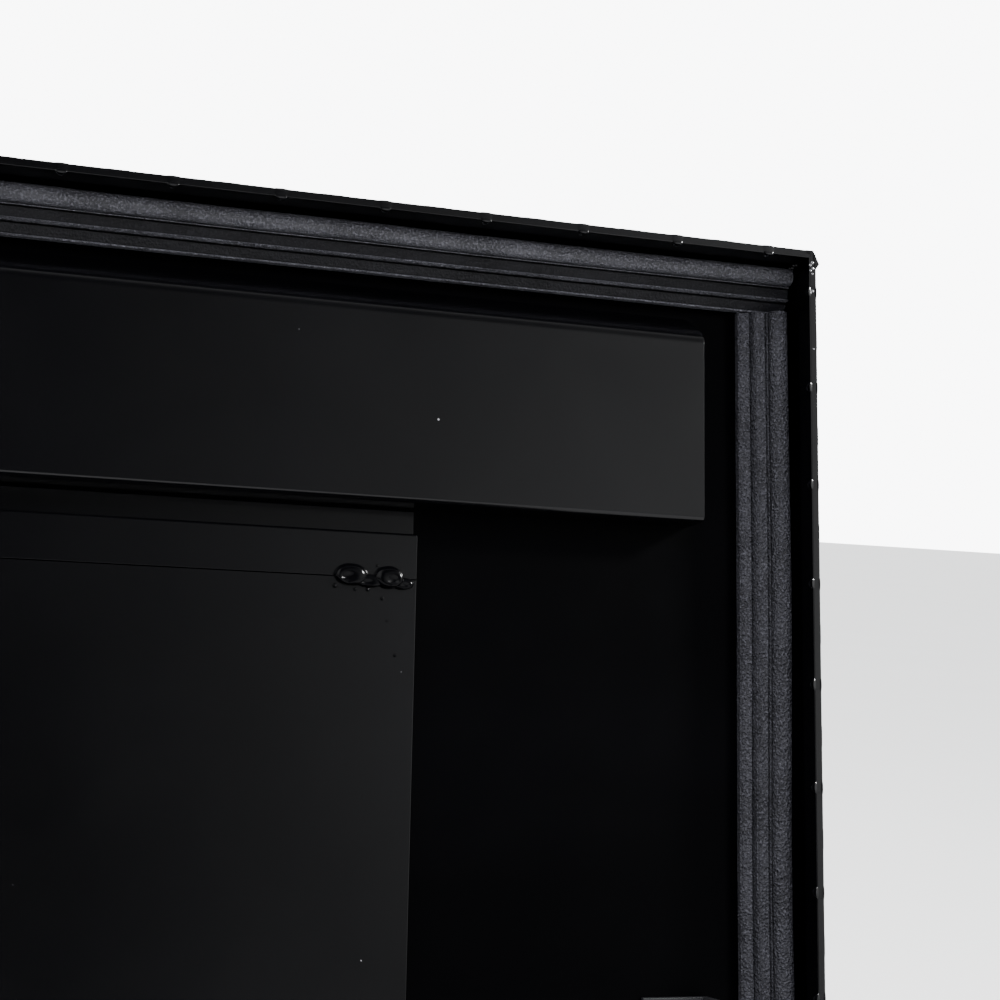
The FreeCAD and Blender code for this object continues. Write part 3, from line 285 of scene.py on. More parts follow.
MATERIALS = {
    # the lid's inside: a darker, weakly reflecting finish as painted shade
    "inner_skin_painted_shade": dull_black("inner_skin_painted_shade"),
    "tread_black": gloss_black("tread_black", 0.16, 0.02 * MM, 0.10),
    "sheet_black": gloss_black("sheet_black", 0.15, 0.012 * MM, 0.30),
    "weld_black": gloss_black("weld_black", 0.10, 0.03 * MM, 0.0),
    "weld_dark": gloss_black("weld_dark", 0.12, 0.03 * MM, 0.0, 0.14),
    "weld_bright": metal("weld_bright", (0.52, 0.52, 0.54), 0.12),
    "seal_rubber": rubber("seal_rubber", (0.0105, 0.0105, 0.0132), 0.46, 2.2),
    # lighter and darker copies of the seal rubber for the front and rear strips: painted light on
    # the bulb and lips, painted shade on the bands
    "seal_bulb": rubber("seal_bulb", (0.026, 0.026, 0.031), 0.46, 1.3),
    "seal_band": rubber("seal_band", (0.0026, 0.0026, 0.0034), 0.50, 0.6, 0.30),
    "gasket_rubber": rubber("gasket_rubber", (0.010, 0.010, 0.011), 0.60, 0.4),
    "grip_rubber": rubber("grip_rubber", (0.009, 0.009, 0.010), 0.52, 0.35),
    "handle_steel": satin_black("handle_steel", 0.34),
    "socket_plastic": plastic("socket_plastic"),
    "cylinder_black": satin_black("cylinder_black", 0.24),
    "bracket_black": satin_black("bracket_black", 0.32),
    "hinge_black": satin_black("hinge_black", 0.3),
    "rod_chrome": metal("rod_chrome", (0.74, 0.75, 0.77), 0.05, brushed=(3000, 3000, 40)),
    "zinc_steel": metal("zinc_steel", (0.60, 0.61, 0.62), 0.26, stain=0.22, grain=0.01 * MM),
    "rivet_aluminium": metal(
        "rivet_aluminium", (0.70, 0.70, 0.71), 0.28, stain=0.1, grain=0.01 * MM
    ),
    "hinge_steel": metal("hinge_steel", (0.62, 0.61, 0.59), 0.22, brushed=(60, 2500, 2500)),
    "latch_chrome": metal("latch_chrome", (0.76, 0.76, 0.78), 0.07, grain=0.004 * MM),
    "dish_steel": metal(
        "dish_steel", (0.66, 0.66, 0.67), 0.20, brushed=(50, 2500, 2500), stain=0.06
    ),
    "lock_brass": metal("lock_brass", (0.70, 0.52, 0.22), 0.22, stain=0.25),
}


# ---- meshes --------------------------------------------------------------------------------

SHARP = math.radians(38)  # a larger turn between two faces stays a crisp edge
BEND_STEPS = 5


def piece(name, verts, faces, body, slot, stands_for=()):
    """A finished mesh piece that rides on a body and takes its finish from a slot."""
    mesh = bpy.data.meshes.new(name)
    mesh.from_pydata([tuple(v) for v in verts], [], [tuple(f) for f in faces])
    bm = bmesh.new()
    bm.from_mesh(mesh)
    bmesh.ops.recalc_face_normals(bm, faces=bm.faces)
    for face in bm.faces:
        face.smooth = True
    for edge in bm.edges:
        if edge.is_manifold and edge.calc_face_angle(0) > SHARP:
            edge.smooth = False
    bm.to_mesh(mesh)
    bm.free()
    mesh.materials.append(MATERIALS[slot])
    made = bpy.data.objects.new(name, mesh)
    bpy.context.scene.collection.objects.link(made)
    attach(made, body)
    if stands_for:
        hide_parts(*stands_for)
    return made


def joined(parts):
    """(verts, faces) of several (verts, faces)."""
    verts, faces = [], []
    for some_verts, some_faces in parts:
        start = len(verts)
        verts.extend(some_verts)
        faces.extend([i + start for i in face] for face in some_faces)
    return verts, faces


def rounded(corners):
    """Points along a polyline of ((x, y), radius) with its corners rounded."""
    points = [np.array(corners[0][0], float)]
    for (before, _), (corner, radius), (after, _) in zip(corners, corners[1:], corners[2:]):
        here = np.array(corner, float)
        into = here - np.array(before, float)
        out = np.array(after, float) - here
        into, out = into / np.linalg.norm(into), out / np.linalg.norm(out)
        turn = math.acos(max(-1, min(1, float(into @ out))))
        if radius < 1e-9 or turn < 1e-4:
            points.append(here)
            continue
        reach = radius * math.tan(turn / 2)
        start = here - into * reach
        side = 1 if into[0] * out[1] - into[1] * out[0] > 0 else -1
        normal = np.array([-into[1], into[0]]) * side
        centre = start + normal * radius
        arm = start - centre
        for step in range(BEND_STEPS + 1):
            angle = side * turn * step / BEND_STEPS
            c, s = math.cos(angle), math.sin(angle)
            points.append(centre + np.array([c * arm[0] - s * arm[1], s * arm[0] + c * arm[1]]))
    points.append(np.array(corners[-1][0], float))
    return points


def tube(outline, stations, place):
    """A closed outline run along stations; place(station, across, up) gives the point."""
    count = len(outline)
    verts, faces = [], []
    for station in stations:
        verts.extend(place(station, *p) for p in outline)
    for row in range(len(stations) - 1):
        a, b = row * count, (row + 1) * count
        for i in range(count):
            j = (i + 1) % count
            faces.append([a + i, a + j, b + j, b + i])
    faces.append(list(range(count)))
    faces.append(list(range(len(verts) - count, len(verts))))
    return verts, faces


def lathe(outline, segments=32):
    """(verts, faces) of (radius, height) points turned about +Z."""
    verts, faces = [], []
    rings = []
    for radius, height in outline:
        if radius < 1e-7:
            rings.append([len(verts)])
            verts.append(Vector((0, 0, height)))
            continue
        rings.append(list(range(len(verts), len(verts) + segments)))
        for step in range(segments):
            angle = 2 * math.pi * step / segments
            verts.append(Vector((radius * math.cos(angle), radius * math.sin(angle), height)))
    for low, high in zip(rings, rings[1:]):
        for step in range(segments):
            after = (step + 1) % segments
            if len(low) == 1:
                faces.append([low[0], high[after], high[step]])
            elif len(high) == 1:
                faces.append([low[step], low[after], high[0]])
            else:
                faces.append([low[step], low[after], high[after], high[step]])
    return verts, faces


def moved(part, matrix):
    """(verts, faces) of a part placed by a matrix."""
    verts, faces = part
    return [matrix @ Vector(v) for v in verts], faces


def finish_node(node, slot, bevel=0.0):
    """Gives a CAD node its material and, where asked, small rounded edges."""
    shown = frame["nodes"][node]
    shown.data.materials.clear()
    shown.data.materials.append(MATERIALS[slot])
    if bevel:
        weld = shown.modifiers.new("weld", "WELD")
        weld.merge_threshold = 0.001 * MM
        edges = shown.modifiers.new("bevel", "BEVEL")
        edges.width = bevel
        edges.segments = 2
        edges.limit_method = "ANGLE"
        edges.angle_limit = math.radians(50)
        edges.use_clamp_overlap = False
        edges.loop_slide = True
        shading = shown.modifiers.new("normals", "WEIGHTED_NORMAL")
        shading.keep_sharp = False
        shading.weight = 80


# ---- lid pan -------------------------------------------------------------------------------

HEM = 10 * MM  # width of the hem folded flat against the flange
BEND = 2.6 * MM  # outer radius of the bend from the flange to the skin
EDGE = 0.45 * MM  # rounding of the folded edge
REAR_GAP = 1 * MM  # from the case's rim to the lid's rear flange, shut
END_LAP = 0.5 * MM  # how far the end flanges' skin runs on under the pan's


def on_front(x, across, up):
    """across runs back from the lid's front face, up from its lower edge."""
    return LID @ Vector((x, PAN_LOW.y + across, PAN_LOW.z + up))


def on_end(side):
    """The same section on an end flange; the station runs back from the lid's front face."""

    def place(station, across, up):
        return LID @ Vector((side * (PAN_HIGH.x - across), PAN_LOW.y + station, PAN_LOW.z + up))

    return place


def hemmed(inner_end, drop=0.0):
    """Closed section of a flange with its hem, the bend to the skin and the skin to inner_end.

    With a drop, the skin is folded down by that much at its far end.
    """
    if drop:
        far = [
            ((inner_end, HEIGHT), BEND),
            ((inner_end, HEIGHT - drop), 0),
            ((inner_end - SHEET, HEIGHT - drop), 0),
            ((inner_end - SHEET, HEIGHT - SHEET), BEND - SHEET),
        ]
    else:
        far = [((inner_end, HEIGHT), 0), ((inner_end, HEIGHT - SHEET), 0)]
    corners = [
        ((1.5 * SHEET, HEM), 0),
        ((2 * SHEET, HEM), EDGE / 2),
        ((2 * SHEET, 0), EDGE),
        ((0, 0), EDGE),
        ((0, HEIGHT), BEND),
        *far,
        ((SHEET, HEIGHT - SHEET), BEND - SHEET),
        ((SHEET, HEM), 0),
        ((1.5 * SHEET, HEM), 0),
    ]
    return rounded(corners)[:-1]


def ear_outline(side):
    """The front flange's end, seen along the flange: lapped past the end flange and dressed."""
    corners = ((-4.5, 0), (-1.3, 0), (1.4, 5.5), (0, 7.6), (-1.6, 7.6), (-1.6, 1.6), (-4.5, 1.6))
    return [(side * (HALF_WIDTH + x * MM), y * MM) for x, y in corners]


def make_lid_pan():
    rear_drop = PAN_HIGH.z - (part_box("rear_panel")[1].z + REAR_GAP)
    ends = HALF_WIDTH - BEND
    parts = [tube(hemmed(DEPTH, rear_drop), [-ends, ends], on_front)]
    for side in (-1, 1):
        parts.append(tube(hemmed(BEND + END_LAP), [SHEET * 0.9, DEPTH], on_end(side)))
        turns = np.linspace(-math.pi / 2, math.pi / 2, 13)
        ball = lathe([(BEND * math.cos(a), BEND * math.sin(a)) for a in turns])
        at = Vector((side * ends, PAN_LOW.y + BEND, PAN_HIGH.z - BEND))
        parts.append(moved(ball, LID @ Matrix.Translation(at)))
        parts.append(tube(ear_outline(side), [0, HEIGHT - BEND], lambda s, x, y: on_front(x, y, s)))
    verts, faces = joined(parts)
    made = piece("lid_pan_formed", verts, faces, "lid", "tread_black", ["lid_pan"])
    # the lid's inner faces take the near-black finish: painted shade
    made.data.materials.append(MATERIALS["inner_skin_painted_shade"])
    inset = 1 * MM  # faces further in than this, and below the skin's middle, are inner ones
    turn = UNLID.to_3x3()
    for face in made.data.polygons:
        at, normal = UNLID @ face.center, turn @ face.normal
        within = abs(at.x) < HALF_WIDTH - inset and PAN_LOW.y + inset < at.y < PAN_HIGH.y - inset
        folded_edge = at.z < PAN_LOW.z + EDGE and normal.z < -0.3
        if within and at.z < SKIN + SHEET / 2 and not folded_edge:
            face.material_index = 1
    shading = made.modifiers.new("normals", "WEIGHTED_NORMAL")
    shading.keep_sharp = True


# ---- tread lugs ----------------------------------------------------------------------------

PITCH = 20 * MM
LUG_HALF_LENGTH = 9.6 * MM
LUG_HALF_WIDTH = 2.7 * MM
LUG_HEIGHT = 1.0 * MM
LUG_SIDES = 16
# one lug in rings from its foot: share of its reach, share of its height
LUG_RINGS = ((1.0, -0.15), (0.90, 0.42), (0.70, 0.80), (0.36, 0.97))


def lug_grid(rows, columns, first_row, first_column):
    """Centres of a field of lugs, every second one turned: (along, across, turned)."""
    field = []
    for row in range(rows):
        for column in range(columns):
            turned = (row + column) % 2
            field.append((first_column + column * PITCH, first_row + row * PITCH, turned))
    return field


def lugs(field, place, keep):
    """(verts, faces) of the lugs to keep; place(along, across, height) gives the point."""
    verts, faces = [], []
    count = LUG_SIDES
    angles = [2 * math.pi * k / count for k in range(count)]
    for along, across, turned in field:
        if not keep(along, across):
            continue
        start = len(verts)
        c, s = (0, 1) if turned else (1, 0)
        for reach, height in LUG_RINGS:
            for angle in angles:
                x = LUG_HALF_LENGTH * reach * math.cos(angle)
                y = LUG_HALF_WIDTH * reach * math.sin(angle)
                point = (along + c * x - s * y, across + s * x + c * y, height * LUG_HEIGHT)
                verts.append(place(*point))
        verts.append(place(along, across, LUG_HEIGHT))
        for ring in range(len(LUG_RINGS) - 1):
            a, b = start + ring * count, start + (ring + 1) * count
            for k in range(count):
                j = (k + 1) % count
                faces.append([a + k, a + j, b + j, b + k])
        top = start + (len(LUG_RINGS) - 1) * count
        for k in range(count):
            faces.append([top + k, top + (k + 1) % count, start + len(LUG_RINGS) * count])
        faces.append([start + k for k in reversed(range(count))])
    return verts, faces


FLAT_EDGE = SHEET - EDGE  # half of the flat on the folded edge
FOLD = FLAT_EDGE + EDGE * math.pi / 2  # half of the way round it
FLAT = HEIGHT - EDGE - BEND  # the outside of the flange
CORNER = BEND * math.pi / 2  # round the bend to the skin


def unfolded(w, h):
    """(across, up) of a place w along the unfolded flange and h above its surface.

    w is 0 in the middle of the folded edge, positive up the outside and over the bend on to
    the skin, negative up the hem.
    """
    if w < -FOLD:
        return 2 * SHEET + h, min(EDGE - w - FOLD, HEM)
    if w < -FLAT_EDGE:
        angle = (-w - FLAT_EDGE) / EDGE
        return 2 * SHEET - EDGE + (EDGE + h) * math.sin(angle), EDGE - (EDGE + h) * math.cos(angle)
    if w < FLAT_EDGE:
        return SHEET - w, -h
    if w < FOLD:
        angle = (w - FLAT_EDGE) / EDGE
        return EDGE - (EDGE + h) * math.sin(angle), EDGE - (EDGE + h) * math.cos(angle)
    if w < FOLD + FLAT:
        return -h, EDGE + w - FOLD
    if w < FOLD + FLAT + CORNER:
        angle = (w - FOLD - FLAT) / BEND
        return (
            BEND - (BEND + h) * math.cos(angle),
            HEIGHT - BEND + (BEND + h) * math.sin(angle),
        )
    return BEND + w - FOLD - FLAT - CORNER, HEIGHT + h


# the first lugs: along the front edge and the end edges from the corner, and round the edge
FRONT_FIRST = 21.4 * MM
END_FIRST = 17.5 * MM
FIRST_ROW = 4 * MM
# a lug's share of its height on the inside of the fold and on the folded edge
INSIDE_SHARE = 1.7
EDGE_SHARE = 0.08


def eased(share):
    """0 to 1 with a soft start and end, for a share held between 0 and 1."""
    t = max(0.0, min(1.0, share))
    return t * t * (3 - 2 * t)


def pressed(w):
    """Share of a lug's height where the folding tool has flattened it, near the edge."""
    if w < -FLAT_EDGE - 0.2 * MM:
        return INSIDE_SHARE
    if w < FLAT_EDGE:
        return EDGE_SHARE
    return 0.25 + 0.75 * eased((w - 2 * MM) / (8 * MM))


def folded_lug(along, middle, place):
    """(verts, faces) of a lug that runs over the folded edge."""
    outline = [(t, (1 - t * t) ** 0.7) for t in np.linspace(-1, 1, 11)]
    low, high = middle - LUG_HALF_LENGTH, middle + LUG_HALF_LENGTH
    fine = 3 * MM  # steps of a tenth of this within it, coarser beyond
    stations = [
        *np.linspace(low, -fine, 8), *np.arange(-2.7, 2.8, 0.3) * MM, *np.linspace(fine, high, 14)
    ]

    def swell(w, t, up):
        slim = math.sqrt(max(1 - ((w - middle) / LUG_HALF_LENGTH) ** 2, 0.0009))
        return place(along + t * LUG_HALF_WIDTH * slim, w, LUG_HEIGHT * up * slim - 0.05 * MM)

    return tube(outline, stations, swell)


def lid_face_lugs(field, place, keep):
    """(verts, faces) of the lugs of a lid face, those over the folded edge in finer steps."""
    crossing = [(a, w) for a, w, turned in field if turned and w < LUG_HALF_LENGTH and keep(a, w)]
    others = [f for f in field if not (f[2] and f[1] < LUG_HALF_LENGTH)]
    return joined([lugs(others, place, keep)] + [folded_lug(a, w, place) for a, w in crossing])


LID_MARGIN = 6 * MM  # lugs nearer than this to a lid face's end are left out
END_COLUMNS = 20


def make_lid_lugs():
    def front(along, w, h):
        across, up = unfolded(w, h * pressed(w))
        return on_front(HALF_WIDTH - along, across, up)

    columns = int(2 * HALF_WIDTH / PITCH)
    rows = int((DEPTH + HEIGHT) / PITCH) + 1
    last = FOLD + FLAT + CORNER + DEPTH - BEND - 8 * MM

    def inside(along, w):
        return LID_MARGIN < along < 2 * HALF_WIDTH - LID_MARGIN and w < last

    field = lug_grid(rows, columns + 1, FIRST_ROW, FRONT_FIRST - PITCH)
    piece("tread_lugs_lid", *lid_face_lugs(field, front, inside), "lid", "tread_black")

    for name, side in (("left", -1), ("right", 1)):
        place = on_end(side)

        def end(along, w, h):
            across, up = unfolded(w, h * pressed(w))
            return place(along, across, up)

        def on_flange(along, w):
            return LID_MARGIN < along < DEPTH - LID_MARGIN and w < FOLD + FLAT

        field = lug_grid(2, END_COLUMNS, FIRST_ROW, END_FIRST - PITCH)
        piece(f"tread_lugs_lid_{name}", *lid_face_lugs(field, end, on_flange), "lid", "tread_black")


CASE_MARGIN = 7 * MM  # lugs nearer than this to a case face's edge are left out
CASE_FIRST_ROW = 11 * MM
DISH_COVER = 6 * MM  # how far the latch dish's rim covers the lugs round its window
RIM_FLAT, RIM_FADE = 4 * MM, 14 * MM  # below the rim: flattened lugs, then the way to full height


def make_case_lugs():
    window_low, window_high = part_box("latch_dish")
    half = (window_high.x - window_low.x) / 2 - DISH_COVER
    middle = (window_high.z + window_low.z) / 2
    low_z, high_z = CASE_LOW.z, CASE_HIGH.z
    half_x, half_y = END_HIGH.x, END_HIGH.y
    rows = int((high_z - low_z) / PITCH) + 1
    first_row = low_z + CASE_FIRST_ROW

    def near_rim(up):
        return 0.06 + 0.94 * eased((high_z - RIM_FLAT - up) / RIM_FADE)

    def within(along, up, half_length):
        level = low_z + CASE_MARGIN < up < high_z - CASE_MARGIN
        return abs(along) < half_length - CASE_MARGIN and level

    def front_keep(along, up):
        in_window = abs(along) < half and abs(up - middle) < half
        return within(along, up, half_x) and not in_window

    def rear_keep(along, up):
        return within(along, up, half_x)

    def end_keep(along, up):
        return within(along, up, half_y)

    columns = int(2 * half_x / PITCH) + 1
    field = lug_grid(rows, columns, first_row, -PITCH * (columns - 1) / 2)
    for name, y, outwards, keep in (
        ("front", END_LOW.y, -1, front_keep),
        ("rear", END_HIGH.y, 1, rear_keep),
    ):
        part = lugs(field, lambda s, t, h: Vector((s, y + outwards * h * near_rim(t), t)), keep)
        piece(f"tread_lugs_{name}", *part, "case", "tread_black")

    columns = int(2 * half_y / PITCH)
    field = lug_grid(rows, columns, first_row, -PITCH * (columns - 1) / 2)
    for name, side in (("left", -1), ("right", 1)):
        part = lugs(
            field, lambda s, t, h: Vector((side * (half_x + h * near_rim(t)), s, t)), end_keep
        )
        piece(f"tread_lugs_{name}", *part, "case", "tread_black")


# ---- seals ---------------------------------------------------------------------------------

BULB_SHARE = 0.195  # the bulb's radius as a share of the seal's width
# the seal past its bulb, as shares of its width and height: a lip, a band with its lip behind a
# groove, a second one, and the undercut wall
SEAL_REST = (
    (0.380, 0.620), (0.390, 0.600), (0.398, 0.665), (0.412, 0.690), (0.426, 0.680),
    (0.434, 0.560), (0.450, 0.550), (0.462, 0.640), (0.560, 0.625), (0.664, 0.600),
    (0.672, 0.650), (0.690, 0.690), (0.708, 0.660),
    (0.714, 0.480), (0.722, 0.340), (0.746, 0.340), (0.758, 0.485), (0.840, 0.420),
    (0.936, 0.345), (0.944, 0.385), (0.964, 0.430), (0.984, 0.400),
    (0.985, 0.200), (0.900, 0.120), (0.880, 0.000),
)
# shares of the width taken by the bands between the lips, which get a darker copy of the rubber as
# painted shade
SEAL_SHADED_BANDS = ((0.43, 0.668), (0.712, 0.94))
FRONT_SEAL_WIDTH = 18.9 * MM  # stretched slimmer than the end strips
END_SEAL_TRIM = 0.5 * MM  # the end strips are slimmer than the CAD ones by this
END_SEAL_SHIFT = 1.2 * MM  # and lie this much further in
SEAL_GAP = 0.3 * MM  # in front of the front strip, and where the end strips butt against it
SEAL_STEP = 5 * MM


def seal_outline(width, height):
    """A round bulb at the edge side, then two bands that each end in a raised lip."""
    bulb = BULB_SHARE * width
    points = [(0.0, 0.0)]
    for step in range(21):
        angle = math.pi * (1.12 - 1.24 * step / 20)
        points.append((bulb * (1 + math.cos(angle)), height - bulb + bulb * math.sin(angle)))
    return points + [(x * width, y * height) for x, y in SEAL_REST]


def make_seal(name, place, start, end, width, height, wobble, lit_and_shaded=False):
    """One strip of seal that stands for its CAD node, a little uneven along its length."""
    outline = seal_outline(width, height)
    count = max(8, int(abs(end - start) / SEAL_STEP))
    stations = [start + (end - start) * k / count for k in range(count + 1)]

    def soft(station, across, up):
        share = up / height
        drift = noise.noise(Vector((station * 9, 3.1, wobble))) * 0.9 * MM * share
        swell = noise.noise(Vector((station * 23, 7.7, wobble))) * 0.4 * MM * share
        return place(station, across + drift, min(up + swell, height))

    made = piece(name + "_moulded", *tube(outline, stations, soft), "lid", "seal_rubber", [name])
    if not lit_and_shaded:
        return
    # with lit_and_shaded: a lighter copy of the rubber as painted light on the bulb, lips and
    # undercut
    made.data.materials[0] = MATERIALS["seal_bulb"]
    # and a darker copy as painted shade on the bands between the lips
    made.data.materials.append(MATERIALS["seal_band"])
    in_painted_shade = []
    for here, after in zip(outline, outline[1:] + outline[:1]):
        middle = (here[0] + after[0]) / 2 / width
        in_painted_shade.append(int(any(low < middle < high for low, high in SEAL_SHADED_BANDS)))
    for number, face in enumerate(made.data.polygons):
        if number < len(outline) * count:
            face.material_index = in_painted_shade[number % len(outline)]


def make_seals():
    low, high = shut_box("seal_front")
    wide, tall = high.y - low.y, high.z - low.z
    front = low.y + SEAL_GAP
    make_seal(
        "seal_front",
        lambda s, across, up: LID @ Vector((s, front + across, high.z - up)),
        low.x, high.x, FRONT_SEAL_WIDTH, tall, 0.0, True,
    )
    rear_low, rear_high = shut_box("seal_rear")
    make_seal(
        "seal_rear",
        lambda s, across, up: LID @ Vector((s, rear_high.y - across, rear_high.z - up)),
        rear_low.x, rear_high.x, wide, tall, 4.0, True,
    )
    start = front + FRONT_SEAL_WIDTH + SEAL_GAP
    for name, side in (("left", -1), ("right", 1)):
        side_low, side_high = shut_box(f"seal_{name}")
        outer = (side_high.x if side > 0 else side_low.x) - side * END_SEAL_SHIFT

        def place(s, across, up, outer=outer, side=side, top=side_high.z):
            return LID @ Vector((outer - side * across, s, top - up))

        name = f"seal_{name}"
        make_seal(name, place, start, side_high.y, wide - END_SEAL_TRIM, tall, 8.0 + side)


# ---- weld beads ----------------------------------------------------------------------------


def blob(radius, stretch=1.0, flat=1.0, sides=14):
    """(verts, faces) of a small drop of metal, its middle at the origin."""
    turns = np.linspace(-math.pi / 2, math.pi / 2, 9)
    outline = [(radius * math.cos(a), radius * flat * math.sin(a)) for a in turns]
    verts, faces = lathe(outline, sides)
    return [Vector((v[0] * stretch, v[1], v[2])) for v in verts], faces


# one puddle of weld: share of its radius, share of its height; steep sides, a dished top
PUDDLE = (
    (1.04, -0.10), (1.0, 0.10), (0.94, 0.44), (0.84, 0.76), (0.70, 0.95), (0.52, 1.0), (0.34, 0.90),
    (0.18, 0.74), (0.0, 0.68),
)


def puddle(along, across, half_long, half_wide, tall, swirl, place):
    """(verts, faces) of one puddle; swirl draws its dished top towards the tail of the bead."""
    verts, faces = lathe(PUDDLE, 40)
    shaped = []
    for v in verts:
        reach = math.hypot(v[0], v[1])
        pull = swirl * (1 - min(reach, 1.0)) * 0.45
        ragged = 1 + 0.05 * noise.noise(Vector((v[0] * 2.3, v[1] * 2.3, along * 900)))
        x = along + half_long * (v[0] * ragged + pull)
        y = across + half_wide * (v[1] * ragged + 0.35 * (1 - min(reach, 1.0)))
        shaped.append(place(x, y, tall * v[2]))
    return shaped, faces


# the seam's puddles: along it from the panel's end, across it towards the rear, half length,
# half width, height and swirl; all but the last in millimetres
PUDDLES = (
    (25.6, -0.9, 6.6, 4.3, 2.5, 0.8),
    (18.6, 1.2, 6.2, 2.5, 1.7, 0.5),
    (11.0, -0.5, 5.9, 4.4, 2.6, -0.7),
    (5.8, 1.6, 4.6, 2.4, 1.6, -0.8),
)
# spatter beside the seam: along, across, radius, in millimetres
SPATTER = (
    (31.8, 3.6, 0.75), (24.0, 4.6, 0.55), (19.0, 4.4, 0.70), (13.4, 7.6, 0.60), (15.6, -4.8, 0.45),
    (7.8, 29.0, 0.55), (11.2, 16.0, 0.40),
)


def make_panel_welds():
    """A short bead with a thin tail near each end of the seam between strip and panel."""
    panel_low, panel_high = shut_box("lid_centre_panel")
    tail_line = [
        (math.cos(a) * 0.5 * MM, math.sin(a) * 0.4 * MM) for a in np.linspace(0, math.pi, 7)
    ]
    tail_length = 5 * MM
    parts = []
    for side in (-1, 1):

        def place(along, across, height, side=side):
            return LID @ Vector(
                (side * (panel_high.x - along), panel_low.y + across, panel_low.z - height)
            )

        for row in PUDDLES:
            parts.append(puddle(*(value * MM for value in row[:5]), row[5], place))

        def tail(s, x, h, place=place):
            slim = min(1.0, s / (3 * MM) + 0.15)
            return place(s + 0.4 * MM, (x + 0.6 * MM * math.sin(s * 260)) * slim, h * slim)

        parts.append(tube(tail_line, list(np.linspace(0, tail_length, 8)), tail))
        for along, across, radius in SPATTER:
            made = blob(1.25 * radius * MM)
            at = place(along * MM, across * MM, 0)
            parts.append(moved(made, Matrix.Translation(at) @ LID.to_3x3().to_4x4()))
    made = piece("lid_panel_weld_beads", *joined(parts), "lid", "weld_black", ["lid_panel_welds"])
    made.data.materials[0] = MATERIALS["weld_dark"]


# drops of weld on the folded edge beside a corner: in from the end, back from the front and
# radius, in millimetres
CORNER_DROPS = (
    (1.7, 5.2, 0.95), (2.7, 6.3, 0.85), (1.5, 7.6, 0.85), (2.6, 8.6, 0.75), (1.8, 9.9, 0.70),
    (1.7, 17.2, 0.85), (2.7, 18.0, 0.75), (1.6, 41.5, 0.60),
)
RIPPLE = 1.9 * MM  # from one ripple of the corner weld to the next
RIPPLE_RADIUS = 1.5 * MM
RIPPLE_INSET = 2.3 * MM  # of the weld's middle from both outer faces
RIPPLE_START = 3 * MM


def make_corner_welds():
    """A rippled weld inside each front corner, and bright drops on the folded edge by it."""
    parts = []
    for side in (-1, 1):

        def place(inwards, back, up, side=side):
            return LID @ Vector((side * (HALF_WIDTH - inwards), PAN_LOW.y + back, PAN_LOW.z + up))

        for number in range(int((HEIGHT - 2 * RIPPLE_START) / RIPPLE)):
            made = blob(RIPPLE_RADIUS, flat=0.75)
            sway = 0.25 * MM * math.sin(number * 2.4)
            at = place(RIPPLE_INSET + sway, RIPPLE_INSET - sway, RIPPLE_START + number * RIPPLE)
            parts.append(moved(made, Matrix.Translation(at) @ LID.to_3x3().to_4x4()))
        for inwards, back, radius in CORNER_DROPS:
            made = blob(0.8 * radius * MM, 1.1)
            at = place(inwards * MM, back * MM, 0.2 * MM)
            parts.append(moved(made, Matrix.Translation(at)))
    made = piece("lid_corner_weld_beads", *joined(parts), "lid", "weld_black", ["lid_corner_welds"])
    made.data.materials.append(MATERIALS["weld_bright"])
    for face in made.data.polygons:
        at = UNLID @ face.center
        on_edge = at.z < PAN_LOW.z + 1.3 * MM and at.y > PAN_LOW.y + 4 * MM
        if on_edge and abs(at.x) < HALF_WIDTH:
            face.material_index = 1


# ---- CAD nodes that stay -------------------------------------------------------------------

def both(*names):
    """The names with _left and with _right."""
    return [f"{name}_{side}" for name in names for side in ("left", "right")]


# slot: rounding of the edges in millimetres, nodes
FINISHES = {
    "tread_black": (0.5, ["front_panel", *both("end_panel"), "floor_panel"]),
    "weld_black": (0.0, ["corner_welds"]),
    "sheet_black": (0.25, ["lid_channel", "lid_panel_strip", "lid_centre_panel"]),
    "gasket_rubber": (0.2, ["latch_gasket"]),
    "grip_rubber": (1.2, both("handle_grip")),
    "handle_steel": (0.4, both("handle_plate")),
    "bracket_black": (0.4, both("strut_bracket_case", "strut_bracket_lid")),
    "cylinder_black": (0.5, both("strut_cylinder")),
    "rod_chrome": (0.0, both("strut_rod")),
    "socket_plastic": (0.3, both("strut_socket_case", "strut_socket_lid")),
    "zinc_steel": (
        0.3,
        [
            *both("strut_stud_case", "strut_stud_lid"), "latch_tongue", "spindle_nut",
            "latch_bush_nut", "striker", "latch_spindle", "latch_bush",
        ],
    ),
    "rivet_aluminium": (
        0.0,
        [
            "handle_rivets", "hinge_rivets_case", "hinge_rivets_lid", "latch_rivets",
            "striker_rivets", "strut_rivets_case", "strut_rivets_lid",
        ],
    ),
    "hinge_steel": (0.0, ["hinge_pin", "fold_pin"]),
    "hinge_black": (0.2, ["hinge_leaf_case", "hinge_leaf_lid"]),
    "latch_chrome": (0.0, ["t_handle"]),
    "dish_steel": (0.5, ["latch_dish"]),
    "lock_brass": (0.2, ["lock_plug"]),
}
# nodes whose edges stay as the CAD has them
PLAIN = {"rear_panel": "tread_black", **dict.fromkeys(both("handle_bail"), "handle_steel")}


def finish_nodes():
    for slot, (bevel, nodes) in FINISHES.items():
        for node in nodes:
            finish_node(node, slot, bevel * MM)
    for node, slot in PLAIN.items():
        finish_node(node, slot)


# ---- studio --------------------------------------------------------------------------------


